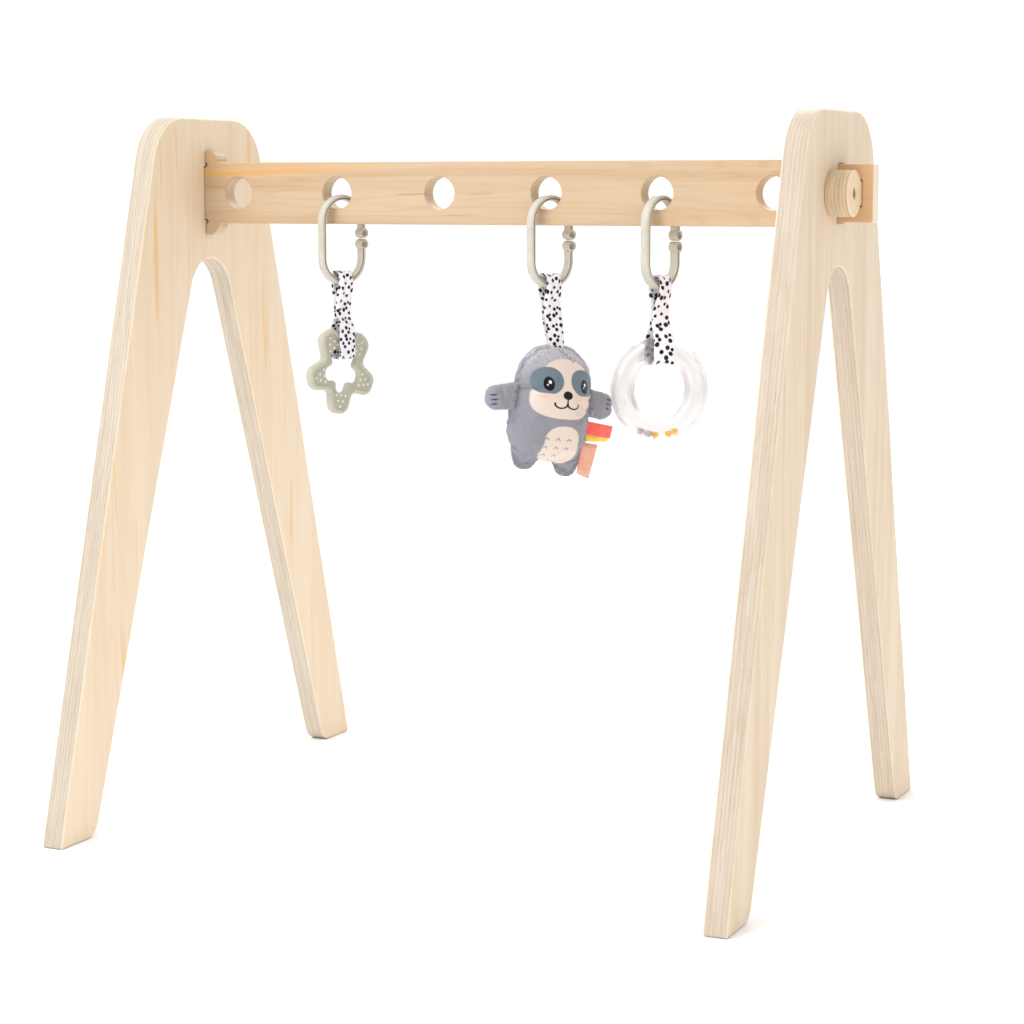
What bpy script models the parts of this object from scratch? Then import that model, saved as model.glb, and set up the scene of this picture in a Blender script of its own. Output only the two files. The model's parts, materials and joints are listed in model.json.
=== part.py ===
"""Activity play gym: two plywood A-frame panels, a pine beam held by two loose
tusk keys, and three hanging toys (a silicone star teether, a stuffed sloth and a
clear ring rattle), each on a snap link and a cloth strap.

Metres, +Z up, X along the beam, the front is -Y, and the origin is on the floor
under the middle of the beam.
"""
import math

import bmesh
import bpy
from mathutils import Vector

MM = 0.001
GAP = 0.3  # clearance between touching pieces
ARC_ERROR = 0.12  # how far a facet may cut inside its arc

# ---- driving dimensions, in millimetres ----
# frame
INNER_WIDTH = 518.0
PLY = 18.0
HEIGHT = 556.0
DEPTH = 458.0
LEG_WIDTH = 46.6  # leg width along the floor, before the inner corner is rounded
OUTER_SLOPE = 0.280  # how far a leg's outer edge leans in for each mm of height
INNER_SLOPE = 0.362
TOP_RADIUS = 45.0
ARCH_RADIUS = 31.5
FOOT_RADIUS = 15.0
FOOT_CORNER = 1.6
PANEL_CHAMFER = 1.0
# beam
BEAM_Z = 496.0
BEAM_HEIGHT = 49.0
BEAM_THICK = 15.0
FLARE_HEIGHT = 68.0
FLARE_LENGTH = 12.5
FLARE_RADIUS = 9.5
TENON_HEIGHT = 42.0
TENON_REACH = 26.0  # tenon past the panel's outer face
BEAM_CORNER = 1.0
ROOT_CORNER = 1.5  # where the straight beam meets a flare
RELIEF_RADIUS = 2.0  # round cut where the tenon meets the shoulder
HOLE_RADIUS = 12.75
HOLE_SPACING = 91.0
HOLE_STEPS = (-2.5, -1.5, -0.5, 0.5, 1.5, 2.5)
BEAM_CHAMFER = 0.7
# tusk keys
KEY_THICK = 17.4
KEY_HEAD_RADIUS = 16.8
KEY_HEAD_Y = -24.0
KEY_HOLE_RADIUS = 4.25
SHANK_HEIGHT = 17.0
SHANK_END_Y = 21.0
SHANK_CORNER = 5.0
KEY_CHAMFER = 0.8
SLOT_INSIDE = 1.5  # how far the key's slot reaches back inside the panel
SLOT_RELIEF = 1.2
# snap links
LINK_WIDTH = 43.0
LINK_TOP = 495.0
LINK_BOTTOM = 423.0
LIMB = 4.4  # limb size in the link's plane
LINK_THICK = 7.8
BARREL_RADIUS = 4.1
BARREL_HOLE_RADIUS = 2.3
BARREL_Z = (454.6, 463.8)
LINK_ROUNDING = 1.4
BARREL_CHAMFER = 0.2
LINK_ARC_Z = LINK_BOTTOM + LINK_WIDTH / 2.0  # centre of the link's lower round
# straps
STRAP_WIDTH = 18.0
STRAP_THICK = 1.6
STRAP_MIDDLE = 1.4  # half the distance between the two layers where they meet
STRAP_SLACK = 0.2  # extra room between the cloth and what it goes round
TWIST_TOP = 12.0  # how far below the strap's top its twist starts
TWIST_ENDS = 34.0  # how much of the strap's height doesn't twist
HUG_TOP = 22.0  # below the link's round, the cloth's edges straighten out
HUG_FADE = 10.0
HUG_LOW = 2.0  # above the ring, the cloth's edges start to bend round it
HUG_LOW_FADE = 6.0
# star teether
STAR_Z = 354.8
STAR_THICK = 9.0
STAR_LOBES = 5
LOBE_CENTRE = 27.1
LOBE_RADIUS = 8.5
STAR_VALLEY = 21.5
HOLE_TIP = 18.5
HOLE_TIP_RADIUS = 5.0
HOLE_VALLEY = 11.0
VALLEY_ROUNDING = 4.5
HOLE_ROUNDING = 3.5
STAR_ROUNDING = 2.5
STAR_TILT = -8.0
STAR_STRAP_SHARE = 0.8  # the strap is gathered to this share of its width at the star
# ring rattle
RING_Z = 348.0
RING_OUTER = 39.5
RING_INNER = 22.5
RING_THICK = 15.0
RING_WALL = 1.4
RING_ROUNDING = 5.5
BEAD_RADIUS = 2.6
BEAD_ROW = 2.8  # how far a row of beads is from the ring's middle plane
BEAD_SLACK = 1.1
# stuffed sloth, measured down from the top of its head
SLOTH_TOP = 379.0
SLOTH_LEAN = 6.0  # its strap hangs this far out of plumb
SLOTH_HALF_DEPTH = 21.0
SLOTH_MIDDLE = -50.0
SLOTH_OVAL = (28.5, 44.0)  # half sizes of the smooth oval that the padding swells into
SLOTH_CORNERS = (  # across, height, corner radius
    (32.5, 0.0, 30.0), (-32.5, 0.0, 30.0), (-35.6, -62.0, 60.0), (-33.8, -97.5, 11.0),
    (-10.5, -98.0, 9.0), (-5.5, -90.0, 5.0), (5.5, -90.0, 5.0), (10.0, -101.0, 9.0),
    (33.8, -100.5, 11.0), (35.6, -62.0, 60.0))
COVER_THICK = 1.2
COVER_SQUEEZE = 0.962  # the cover's inner outline against its outer one
STUFFING_SQUEEZE = 0.945
STUFFING_GAP = 0.5
SLOTH_TILT = -7.0
SEWN_GAP = 1.3
ARM_HALF_DEPTH = 7.0
ARM_ROOT = 35.8
ARM_TIP = 60.0
ARM_MIDDLE = -42.5
# sewn-in tabs: corners as across, height, radius; then thickness and distance forward
RED_TAB = ((36.2, -67.0, 0.5), (60.2, -69.0, 0.5), (61.2, -59.5, 0.5), (36.2, -57.5, 0.5))
YELLOW_TAB = ((36.2, -72.5, 0.5), (59.5, -72.0, 0.5), (60.0, -63.0, 0.5), (36.2, -63.0, 0.5))
LABEL_TAB = ((33.6, -100.0, 0.5), (43.4, -101.8, 0.5), (48.4, -74.2, 0.5), (36.4, -73.6, 0.5))
TAB_CHAMFER = 0.2

# toy: place along the beam in hole spacings, link plane turn, toy turn (degrees)
TEETHER = (-1.5, 27.0, 19.0)
SLOTH = (0.5, 26.0, 33.0)
RATTLE = (1.5, 15.0, 43.0)

PLY_COLOUR = (0.80, 0.66, 0.48)
PINE_COLOUR = (0.75, 0.54, 0.33)
LINK_COLOUR = (0.62, 0.58, 0.48)
CLOTH_COLOUR = (0.82, 0.81, 0.83)
SILICONE_COLOUR = (0.44, 0.44, 0.36)
CLEAR_COLOUR = (0.90, 0.90, 0.90)
YELLOW = (0.95, 0.55, 0.03)
GREY = (0.42, 0.41, 0.42)
BEADS = (  # angle from the ring's lowest point, row (1 front, -1 back), colour
    (-7.5, 1, YELLOW), (11.0, 1, YELLOW), (20.5, 1, YELLOW), (-17.0, 1, GREY),
    (-25.0, -1, GREY), (-14.5, -1, GREY), (-3.5, -1, GREY))
PLUSH_COLOUR = (0.27, 0.28, 0.34)
FACE_COLOUR = (0.86, 0.72, 0.60)
RED = (0.90, 0.10, 0.09)
LABEL_COLOUR = (0.88, 0.45, 0.33)


def clear_scene():
    for thing in list(bpy.context.scene.objects):
        bpy.data.objects.remove(thing, do_unlink=True)


def material(name, colour, roughness=0.6):
    made = bpy.data.materials.new(name)
    made.use_nodes = True
    shader = made.node_tree.nodes["Principled BSDF"]
    shader.inputs["Base Color"].default_value = (*colour, 1.0)
    shader.inputs["Roughness"].default_value = roughness
    shader.inputs["Metallic"].default_value = 0.0
    return made


def finish(name, bm, colour, roughness=0.6, parent=None):
    """Turn a bmesh in millimetres into a named object in metres."""
    bmesh.ops.remove_doubles(bm, verts=bm.verts, dist=0.001)
    bmesh.ops.scale(bm, vec=(MM, MM, MM), verts=bm.verts)
    bmesh.ops.recalc_face_normals(bm, faces=bm.faces)
    mesh = bpy.data.meshes.new(name)
    bm.to_mesh(mesh)
    bm.free()
    mesh.shade_smooth()
    mesh.set_sharp_from_angle(angle=math.radians(32))
    mesh.materials.append(material(name + "_material", colour, roughness))
    made = bpy.data.objects.new(name, mesh)
    bpy.context.collection.objects.link(made)
    made.parent = parent
    return made


def empty(name, place, turn_z=0.0, parent=None, tilt_x=0.0):
    """A guide at a joint, turned about Z after an in-plane tilt about its own X."""
    made = bpy.data.objects.new(name, None)
    bpy.context.collection.objects.link(made)
    made.parent = parent
    made.location = [MM * c for c in place]
    made.rotation_euler = (math.radians(tilt_x), 0.0, math.radians(turn_z))
    return made


# ---- flat outlines ----
def arc(centre, radius, start, end, steps=None):
    """Points on an arc, both ends included; angles in radians."""
    if steps is None:
        chord = 2.0 * math.acos(1.0 - min(0.08, ARC_ERROR / radius))
        steps = max(2, math.ceil(abs(end - start) / chord))
    turns = [start + (end - start) * i / steps for i in range(steps + 1)]
    return [(centre[0] + radius * math.cos(t), centre[1] + radius * math.sin(t)) for t in turns]


def circle(centre, radius, steps=32, clockwise=True):
    points = arc(centre, radius, 0.0, math.tau, steps)[:-1]
    return points[::-1] if clockwise else points


def rounded(corners):
    """A closed outline from (a, b, radius) corners, each rounded by an arc."""
    points = []
    for i, (a, b, radius) in enumerate(corners):
        here = Vector((a, b))
        if radius <= 0.0:
            points.append((a, b))
            continue
        back = (Vector(corners[i - 1][:2]) - here).normalized()
        ahead = (Vector(corners[(i + 1) % len(corners)][:2]) - here).normalized()
        half = back.angle(ahead) / 2.0
        middle = here + (back + ahead).normalized() * (radius / math.sin(half))
        from_middle = here + back * (radius / math.tan(half)) - middle
        to_middle = here + ahead * (radius / math.tan(half)) - middle
        start = math.atan2(from_middle.y, from_middle.x)
        sweep = math.atan2(to_middle.y, to_middle.x) - start
        sweep = (sweep + math.pi) % math.tau - math.pi
        points += arc(middle, radius, start, start + sweep)
    return points


def inset(loop, distance):
    """The loop moved to its left by a distance, with mitred corners."""
    moved = []
    for i, point in enumerate(loop):
        here = Vector(point)
        before = (here - Vector(loop[i - 1])).normalized()
        after = (Vector(loop[(i + 1) % len(loop)]) - here).normalized()
        normal = Vector((-before.y, before.x)) + Vector((-after.y, after.x))
        normal.normalize()
        spread = max(0.3, normal.dot(Vector((-before.y, before.x))))
        moved.append(tuple(here + normal * (distance / spread)))
    return moved


def plate(loops, profile, place, hole_profile=None):
    """A plate with holes. loops: the outline anticlockwise, then holes clockwise.
    profile: (inset, height) pairs from one face to the other, which the holes share
    unless they have their own. place(a, b, height) gives a point in space."""
    bm = bmesh.new()
    caps = [[], []]
    for number, loop in enumerate(loops):
        rows = []
        for distance, height in hole_profile if number and hole_profile else profile:
            row = [bm.verts.new(place(a, b, height)) for a, b in inset(loop, distance)]
            rows.append(row)
        for low, high in zip(rows, rows[1:]):
            for i in range(len(low)):
                bm.faces.new((low[i - 1], low[i], high[i], high[i - 1]))
        for cap, row in zip(caps, (rows[0], rows[-1])):
            cap += [bm.edges.get((row[i - 1], row[i])) for i in range(len(row))]
    for cap in caps:
        bmesh.ops.triangle_fill(bm, edges=cap, use_beauty=True, use_dissolve=False)
    return bm


def chamfered(thickness, chamfer):
    half = thickness / 2.0
    return [(chamfer, -half), (0.0, -half + chamfer), (0.0, half - chamfer), (chamfer, half)]


def softened(thickness, radius, steps=3):
    """A profile whose two edges are quarter rounds."""
    half = thickness / 2.0
    turns = [math.pi / 2.0 * i / steps for i in range(steps + 1)]
    low = [(radius * (1.0 - math.sin(t)), -half + radius * (1.0 - math.cos(t))) for t in turns]
    return low + [(distance, -height) for distance, height in reversed(low)]


# ---- the wooden stand ----
def panel_outline():
    foot = DEPTH / 2.0
    inner = foot - LEG_WIDTH
    apex = inner / INNER_SLOPE
    top = foot - OUTER_SLOPE * HEIGHT
    return rounded([
        (-foot, 0.0, FOOT_CORNER), (-inner, 0.0, FOOT_RADIUS), (0.0, apex, ARCH_RADIUS),
        (inner, 0.0, FOOT_RADIUS), (foot, 0.0, FOOT_CORNER),
        (top, HEIGHT, TOP_RADIUS), (-top, HEIGHT, TOP_RADIUS)])


def side_panel(name, side):
    middle = side * (INNER_WIDTH + PLY) / 2.0
    across = BEAM_THICK / 2.0 + GAP
    up = TENON_HEIGHT / 2.0 + GAP
    slot = [(-across, BEAM_Z - up), (-across, BEAM_Z + up), (across, BEAM_Z + up), (across, BEAM_Z - up)]
    bm = plate([panel_outline(), slot], chamfered(PLY, PANEL_CHAMFER), lambda y, z, x: (middle + x, y, z))
    finish(name, bm, PLY_COLOUR)


def beam_end(side):
    """One end of the beam's outline, from its lower edge round to its upper edge."""
    shoulder = INNER_WIDTH / 2.0 - GAP
    root = shoulder - FLARE_LENGTH
    tip = INNER_WIDTH / 2.0 + PLY + TENON_REACH
    flare, edge, tenon = FLARE_HEIGHT / 2.0, BEAM_HEIGHT / 2.0, TENON_HEIGHT / 2.0
    relief = tenon + RELIEF_RADIUS
    # the whole half is rounded as one closed outline, then its closing side is dropped
    half = rounded([
        (0.0, -edge, 0.0), (root, -edge, ROOT_CORNER), (root, -flare, FLARE_RADIUS),
        (shoulder, -flare, BEAM_CORNER), (shoulder, -relief - RELIEF_RADIUS, 0.0),
        (shoulder, -tenon, 0.0), (tip, -tenon, BEAM_CORNER), (tip, tenon, BEAM_CORNER),
        (shoulder, tenon, 0.0), (shoulder, relief + RELIEF_RADIUS, 0.0),
        (shoulder, flare, BEAM_CORNER), (root, flare, FLARE_RADIUS), (root, edge, ROOT_CORNER),
        (0.0, edge, 0.0)])
    points = []
    for i, point in enumerate(half[1:-1], start=1):
        points.append(point)
        onward = half[i + 1]
        if abs(point[0] - shoulder) < 1e-6 and abs(onward[0] - shoulder) < 1e-6:
            if abs(abs(point[1] - onward[1]) - 2.0 * RELIEF_RADIUS) < 1e-6:
                centre = (shoulder, (point[1] + onward[1]) / 2.0)
                points += arc(centre, RELIEF_RADIUS, -math.pi / 2.0, -1.5 * math.pi, 6)[1:-1]
    return points if side > 0 else [(-x, z) for x, z in reversed(points)]


def key_slot(side):
    """The slot for a tusk key, with a round relief at each outer corner."""
    near = INNER_WIDTH / 2.0 + PLY - SLOT_INSIDE
    far = INNER_WIDTH / 2.0 + PLY + KEY_THICK + 2.0 * GAP
    up = SHANK_HEIGHT / 2.0 + GAP
    upper = arc((far - SLOT_RELIEF, up), SLOT_RELIEF, math.pi, 0.0, 4)
    lower = arc((far - SLOT_RELIEF, -up), SLOT_RELIEF, 0.0, -math.pi, 4)
    points = [(near, -up), (near, up)] + upper + lower
    return points if side > 0 else [(-x, z) for x, z in reversed(points)]


def beam():
    outline = beam_end(1) + beam_end(-1)
    holes = [circle((step * HOLE_SPACING, 0.0), HOLE_RADIUS, 28) for step in HOLE_STEPS]
    loops = [outline, key_slot(-1), key_slot(1)] + holes
    bm = plate(loops, chamfered(BEAM_THICK, BEAM_CHAMFER), lambda x, z, y: (x, y, BEAM_Z + z))
    finish("beam", bm, PINE_COLOUR)


def tusk_key(name, side):
    """A round head in front of the tenon, and a shank through the tenon's slot."""
    half = SHANK_HEIGHT / 2.0
    spread = math.asin(half / KEY_HEAD_RADIUS)
    head = arc((KEY_HEAD_Y, 0.0), KEY_HEAD_RADIUS, spread, math.tau - spread, 30)
    end = SHANK_END_Y - SHANK_CORNER
    lower = arc((end, -half + SHANK_CORNER), SHANK_CORNER, -math.pi / 2.0, 0.0, 4)
    upper = arc((end, half - SHANK_CORNER), SHANK_CORNER, 0.0, math.pi / 2.0, 4)
    hole = circle((KEY_HEAD_Y, 0.0), KEY_HOLE_RADIUS, 20)
    pivot = empty(name + "_slide", (0.0, 0.0, BEAM_Z))
    middle = side * (INNER_WIDTH / 2.0 + PLY + GAP + KEY_THICK / 2.0)
    profile = chamfered(KEY_THICK, KEY_CHAMFER)
    bm = plate([head + lower + upper, hole], profile, lambda y, z, x: (middle + x, y, z))
    finish(name, bm, PLY_COLOUR, parent=pivot)


# ---- links and straps, in a frame whose X is across the link and Y along it ----
def link(name, parent):
    """A flat C of plastic, whose two ends are barrels that nearly touch."""
    middle = (LINK_WIDTH - LIMB) / 2.0
    outer, inner = middle + LIMB / 2.0, middle - LIMB / 2.0
    top, bottom = LINK_TOP - outer, LINK_BOTTOM + outer
    low_z, high_z = BARREL_Z
    spread = math.asin((LIMB / 2.0) / BARREL_RADIUS)
    side = math.pi / 2.0
    outside = arc((0.0, top), outer, 0.0, math.pi, 14) + arc((0.0, bottom), outer, math.pi, math.tau, 14)
    inside = arc((0.0, bottom), inner, math.tau, math.pi, 12) + arc((0.0, top), inner, math.pi, 0.0, 12)
    low_end = arc((middle, low_z), BARREL_RADIUS, spread - side, 3.0 * side - spread, 10)
    high_end = arc((middle, high_z), BARREL_RADIUS, side + spread, 5.0 * side - spread, 10)
    holes = [circle((middle, z), BARREL_HOLE_RADIUS, 10) for z in BARREL_Z]
    bm = plate([outside + low_end + inside + high_end] + holes, softened(LINK_THICK, LINK_ROUNDING, 2),
               lambda y, z, x: (x, y, z - BEAM_Z), chamfered(LINK_THICK, BARREL_CHAMFER))
    finish(name, bm, LINK_COLOUR, 0.4, parent)


def smooth_loop(points, each=2):
    """A closed curve through the points (Catmull-Rom)."""
    count = len(points)
    curve = []
    for i in range(count):
        p0, p1, p2, p3 = (Vector(points[(i + k) % count]) for k in (-1, 0, 1, 2))
        for step in range(each):
            t = step / each
            curve.append(0.5 * (2 * p1 + (p2 - p0) * t + (2 * p0 - 5 * p1 + 4 * p2 - p3) * t * t
                                + (3 * p1 - p0 - 3 * p2 + p3) * t ** 3))
    return curve


def ease(value):
    value = min(1.0, max(0.0, value))
    return value * value * (3.0 - 2.0 * value)


def strap(name, parent, half_path, twist, low_centre=None, low_width=1.0, lean=0.0):
    """A flat cloth loop. half_path runs down one side as (across, height) pairs, and
    the other side mirrors it. Near the round parts that it holds, the cloth's width
    bends round their centres; between them the loop turns by twist degrees, leans
    sideways, and changes its width to a share of low_width."""
    path = smooth_loop(half_path + [(-x, z) for x, z in reversed(half_path)])
    widths = [STRAP_WIDTH * share for share in (-0.5, 0.0, 0.5)]
    high = half_path[0][1]
    low = half_path[-1][1]
    bm = bmesh.new()
    rings = []
    for i, point in enumerate(path):
        along = (path[(i + 1) % len(path)] - path[i - 1]).normalized()
        normal = Vector((along.y, -along.x))
        ring = []
        for offset, row in ((0.5, widths), (-0.5, widths[::-1])):
            x, z = point + normal * (offset * STRAP_THICK)
            share = ease((high - TWIST_TOP - z) / (high - low - TWIST_ENDS))
            turn = math.radians(-twist) * share
            aside = lean * min(1.0, max(0.0, (high - TWIST_TOP - z) / (high - TWIST_TOP - low)))
            for width in (w * (1.0 + (low_width - 1.0) * share) for w in row):
                down = LINK_ARC_Z - z
                hug = 1.0 - ease((down - HUG_TOP) / HUG_FADE)
                lift = hug * (down - math.sqrt(max(1.0, down * down - width * width)))
                if low_centre is not None:
                    up = z - low_centre
                    hug = 1.0 - ease((up - RING_OUTER - HUG_LOW) / HUG_LOW_FADE)
                    lift -= hug * (up - math.sqrt(max(1.0, up * up - width * width)))
                ring.append(bm.verts.new((
                    x * math.cos(turn) - (width + aside) * math.sin(turn),
                    x * math.sin(turn) + (width + aside) * math.cos(turn), z + lift - LINK_ARC_Z)))
        rings.append(ring)
    for i, ring in enumerate(rings):
        last = rings[i - 1]
        for k in range(len(ring)):
            bm.faces.new((last[k - 1], last[k], ring[k], ring[k - 1]))
    finish(name, bm, CLOTH_COLOUR, 0.9, parent)


def hanger(toy, name):
    """A link in its beam hole and the guide that its strap hangs from."""
    step, link_turn, _ = toy
    swing = empty(name + "_link_swing", (step * HOLE_SPACING, 0.0, BEAM_Z), -link_turn)
    link(name + "_link", swing)
    return empty(name + "_strap_rock", (0.0, 0.0, LINK_ARC_Z - BEAM_Z), parent=swing)


def strap_side(thickness):
    """How far the cloth's middle is from the middle of a thing that it goes round."""
    return thickness / 2.0 + GAP + STRAP_THICK / 2.0 + STRAP_SLACK


def strap_top():
    """The half path round the link's lower limb, and then the two layers meeting."""
    inside = LINK_BOTTOM + LIMB + GAP + STRAP_THICK / 2.0
    side = strap_side(LINK_THICK)
    outside = LINK_BOTTOM - 1.6
    return [(side * 0.45, inside + 0.3), (side * 0.92, inside - 0.9), (side, inside - 3.2),
            (side, outside), (side * 0.72, outside - 4.5), (STRAP_MIDDLE + 0.4, outside - 9.0)]


# ---- toys ----
def star_loop(tip_centre, tip_radius, valley, valley_radius):
    """Five round lobes joined by round valleys, one lobe pointing down."""
    corners = []
    for lobe in range(STAR_LOBES):
        middle = -math.pi / 2.0 + math.tau * lobe / STAR_LOBES
        flank = Vector((math.cos(middle + math.pi / 2.0), math.sin(middle + math.pi / 2.0))) * tip_radius
        out = Vector((math.cos(middle), math.sin(middle)))
        end = out * (tip_centre + tip_radius)
        turn = middle + math.pi / STAR_LOBES
        for part, radius in ((end - flank, tip_radius * 0.98), (end + flank, tip_radius * 0.98)):
            corners.append((part.x, part.y, radius))
        corners.append((valley * math.cos(turn), valley * math.sin(turn), valley_radius))
    return rounded(corners)


def star_teether():
    rock = hanger(TEETHER, "teether")
    _, link_turn, toy_turn = TEETHER
    limb_low = STAR_Z + HOLE_VALLEY
    side = strap_side(STAR_THICK)
    bottom = limb_low - GAP - 2.0 * STRAP_SLACK - STRAP_THICK / 2.0
    path = strap_top() + [
        (STRAP_MIDDLE, 404.0), (STRAP_MIDDLE + 0.3, 397.0), (side * 0.75, 391.0), (side, 386.0),
        (side, limb_low + 2.2), (side * 0.86, bottom + 0.9), (side * 0.4, bottom)]
    strap("teether_strap", rock, path, toy_turn - link_turn, low_width=STAR_STRAP_SHARE)
    limb_z = STAR_Z + (STAR_VALLEY + HOLE_VALLEY) / 2.0
    place = (0.0, 0.0, limb_z - LINK_ARC_Z)
    turn = empty("teether_star_rock", place, link_turn - toy_turn, rock, STAR_TILT)
    outline = star_loop(LOBE_CENTRE, LOBE_RADIUS, STAR_VALLEY, VALLEY_ROUNDING)
    hole = star_loop(HOLE_TIP - HOLE_TIP_RADIUS, HOLE_TIP_RADIUS, HOLE_VALLEY, HOLE_ROUNDING)[::-1]
    bm = plate([outline, hole], softened(STAR_THICK, STAR_ROUNDING, 2),
               lambda y, z, x: (x, y, z + STAR_Z - limb_z))
    finish("teether_star", bm, SILICONE_COLOUR, 0.6, turn)


def ring_half(name, side, parent):
    """One moulded half of the clear ring: a channel turned about the ring's axis."""
    low, high = RING_INNER, RING_OUTER
    half = RING_THICK / 2.0
    outside = (arc((high - RING_ROUNDING, half - RING_ROUNDING), RING_ROUNDING, 0.0, math.pi / 2.0, 2)
               + arc((low + RING_ROUNDING, half - RING_ROUNDING), RING_ROUNDING, math.pi / 2.0, math.pi, 2))
    wall = RING_ROUNDING - RING_WALL
    inside = (arc((low + RING_ROUNDING, half - RING_ROUNDING), wall, math.pi, math.pi / 2.0, 2)
              + arc((high - RING_ROUNDING, half - RING_ROUNDING), wall, math.pi / 2.0, 0.0, 2))
    seam = GAP / 2.0
    section = [(high, seam)] + outside + [(low, seam), (low + RING_WALL, seam)] + inside
    section += [(high - RING_WALL, seam)]
    bm = bmesh.new()
    edges = []
    verts = [bm.verts.new((side * x, r, 0.0)) for r, x in section]
    for i, vert in enumerate(verts):
        edges.append(bm.edges.new((verts[i - 1], vert)))
    bmesh.ops.spin(bm, geom=verts + edges, cent=(0, 0, 0), axis=(1, 0, 0), angle=math.tau,
                   steps=36, use_merge=True)
    finish(name, bm, CLEAR_COLOUR, 0.05, parent)


def bead(name, angle, row, colour, parent):
    place = RING_OUTER - RING_WALL - BEAD_RADIUS - BEAD_SLACK
    turn = math.radians(angle)
    bm = bmesh.new()
    bmesh.ops.create_icosphere(bm, subdivisions=2, radius=BEAD_RADIUS)
    centre = (row * BEAD_ROW, place * math.sin(turn), -place * math.cos(turn))
    bmesh.ops.translate(bm, vec=centre, verts=bm.verts)
    finish(name, bm, colour, 0.35, parent)


def ring_rattle():
    rock = hanger(RATTLE, "rattle")
    _, link_turn, toy_turn = RATTLE
    side = strap_side(RING_THICK)
    bottom = RING_Z + RING_INNER - GAP - STRAP_SLACK - STRAP_THICK / 2.0
    ring_top = RING_Z + RING_OUTER
    path = strap_top() + [
        (STRAP_MIDDLE, 406.0), (STRAP_MIDDLE + 0.6, 398.0), (side * 0.68, ring_top + 3.0),
        (side, ring_top - 3.5), (side, bottom + 8.0), (side, bottom + 3.0), (side * 0.8, bottom + 0.4),
        (side * 0.3, bottom)]
    strap("rattle_strap", rock, path, toy_turn - link_turn, RING_Z)
    turn = empty("rattle_ring_turn", (0.0, 0.0, RING_Z - LINK_ARC_Z), link_turn - toy_turn, rock)
    ring_half("rattle_ring_front", 1, turn)
    ring_half("rattle_ring_back", -1, turn)
    for number, (angle, row, colour) in enumerate(BEADS, start=1):
        bead(f"rattle_bead_{number}", angle, row, colour, turn)


def pillow(outline, centre, depths, squeeze=1.0, oval=None):
    """Rings of points from an outline towards its centre. depths gives (scale, depth)
    pairs, squeeze shrinks the whole outline, and the rings near the centre take the
    shape of the oval, if there is one."""
    rings = []
    for scale, depth in depths:
        ring = []
        for y, z in outline:
            away = Vector((y - centre[0], z - centre[1]))
            if oval:
                spoke = away.normalized()
                smooth = spoke / Vector((spoke.x / oval[0], spoke.y / oval[1])).length
                away = smooth.lerp(away, scale ** 1.5)
            ring.append((depth, centre[0] + away.x * scale * squeeze, centre[1] + away.y * scale * squeeze))
        rings.append(ring)
    return rings


def dome(half_depth, floor=0.0, steps=3):
    """Scale and depth from the edge of a stuffed shape to near its middle."""
    scales = [math.cos(math.pi / 2.0 * i / (steps + 1)) for i in range(steps + 1)]
    return [(s, floor + (half_depth - floor) * (1.0 - s ** 2.4) ** 0.5) for s in scales]


def skin(bm, rings, side, peak):
    """Quads over the rings and a fan to the peak; returns the edge ring's verts."""
    rows = [[bm.verts.new((side * x, y, z)) for x, y, z in ring] for ring in rings]
    for low, high in zip(rows, rows[1:]):
        for i in range(len(low)):
            bm.faces.new((low[i - 1], low[i], high[i], high[i - 1]))
    tip = bm.verts.new((side * peak[0], peak[1], peak[2]))
    for i in range(len(rows[-1])):
        bm.faces.new((rows[-1][i - 1], rows[-1][i], tip))
    return rows[0]


def sloth_cover(name, side, colour, parent):
    outline = rounded(SLOTH_CORNERS)
    centre = (0.0, SLOTH_MIDDLE)
    seam = GAP / 2.0
    outer = pillow(outline, centre, dome(SLOTH_HALF_DEPTH, seam), oval=SLOTH_OVAL)
    inner = pillow(outline, centre, dome(SLOTH_HALF_DEPTH - COVER_THICK, seam), COVER_SQUEEZE, SLOTH_OVAL)
    bm = bmesh.new()
    rim = skin(bm, outer, side, (SLOTH_HALF_DEPTH, *centre))
    lip = skin(bm, inner, side, (SLOTH_HALF_DEPTH - COVER_THICK, *centre))
    for i in range(len(rim)):
        bm.faces.new((rim[i - 1], rim[i], lip[i], lip[i - 1]))
    finish(name, bm, colour, 0.95, parent)


def stuffed(name, outline, centre, half_depth, colour, parent, squeeze=1.0, oval=None):
    """A closed stuffed shape, the same on both sides of its seam."""
    rings = pillow(outline, centre, dome(half_depth), squeeze, oval)
    bm = bmesh.new()
    skin(bm, rings, 1, (half_depth, *centre))
    skin(bm, rings, -1, (half_depth, *centre))
    finish(name, bm, colour, 0.95, parent)


def tab(name, corners, thickness, forward, colour, parent):
    bm = plate([rounded(corners)], chamfered(thickness, TAB_CHAMFER), lambda y, z, x: (forward + x, y, z))
    finish(name, bm, colour, 0.8, parent)


def sloth_arm(name, side, parent):
    root, tip = side * ARM_ROOT, side * ARM_TIP
    corners = [(root, ARM_MIDDLE + 9.5, 3.0), (tip, ARM_MIDDLE + 12.5, 11.0),
               (tip, ARM_MIDDLE - 12.5, 11.0), (root, ARM_MIDDLE - 10.0, 3.0)]
    outline = rounded(corners if side < 0 else corners[::-1])
    stuffed(name, outline, ((root + tip) / 2.0, ARM_MIDDLE), ARM_HALF_DEPTH, PLUSH_COLOUR, parent)


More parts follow.
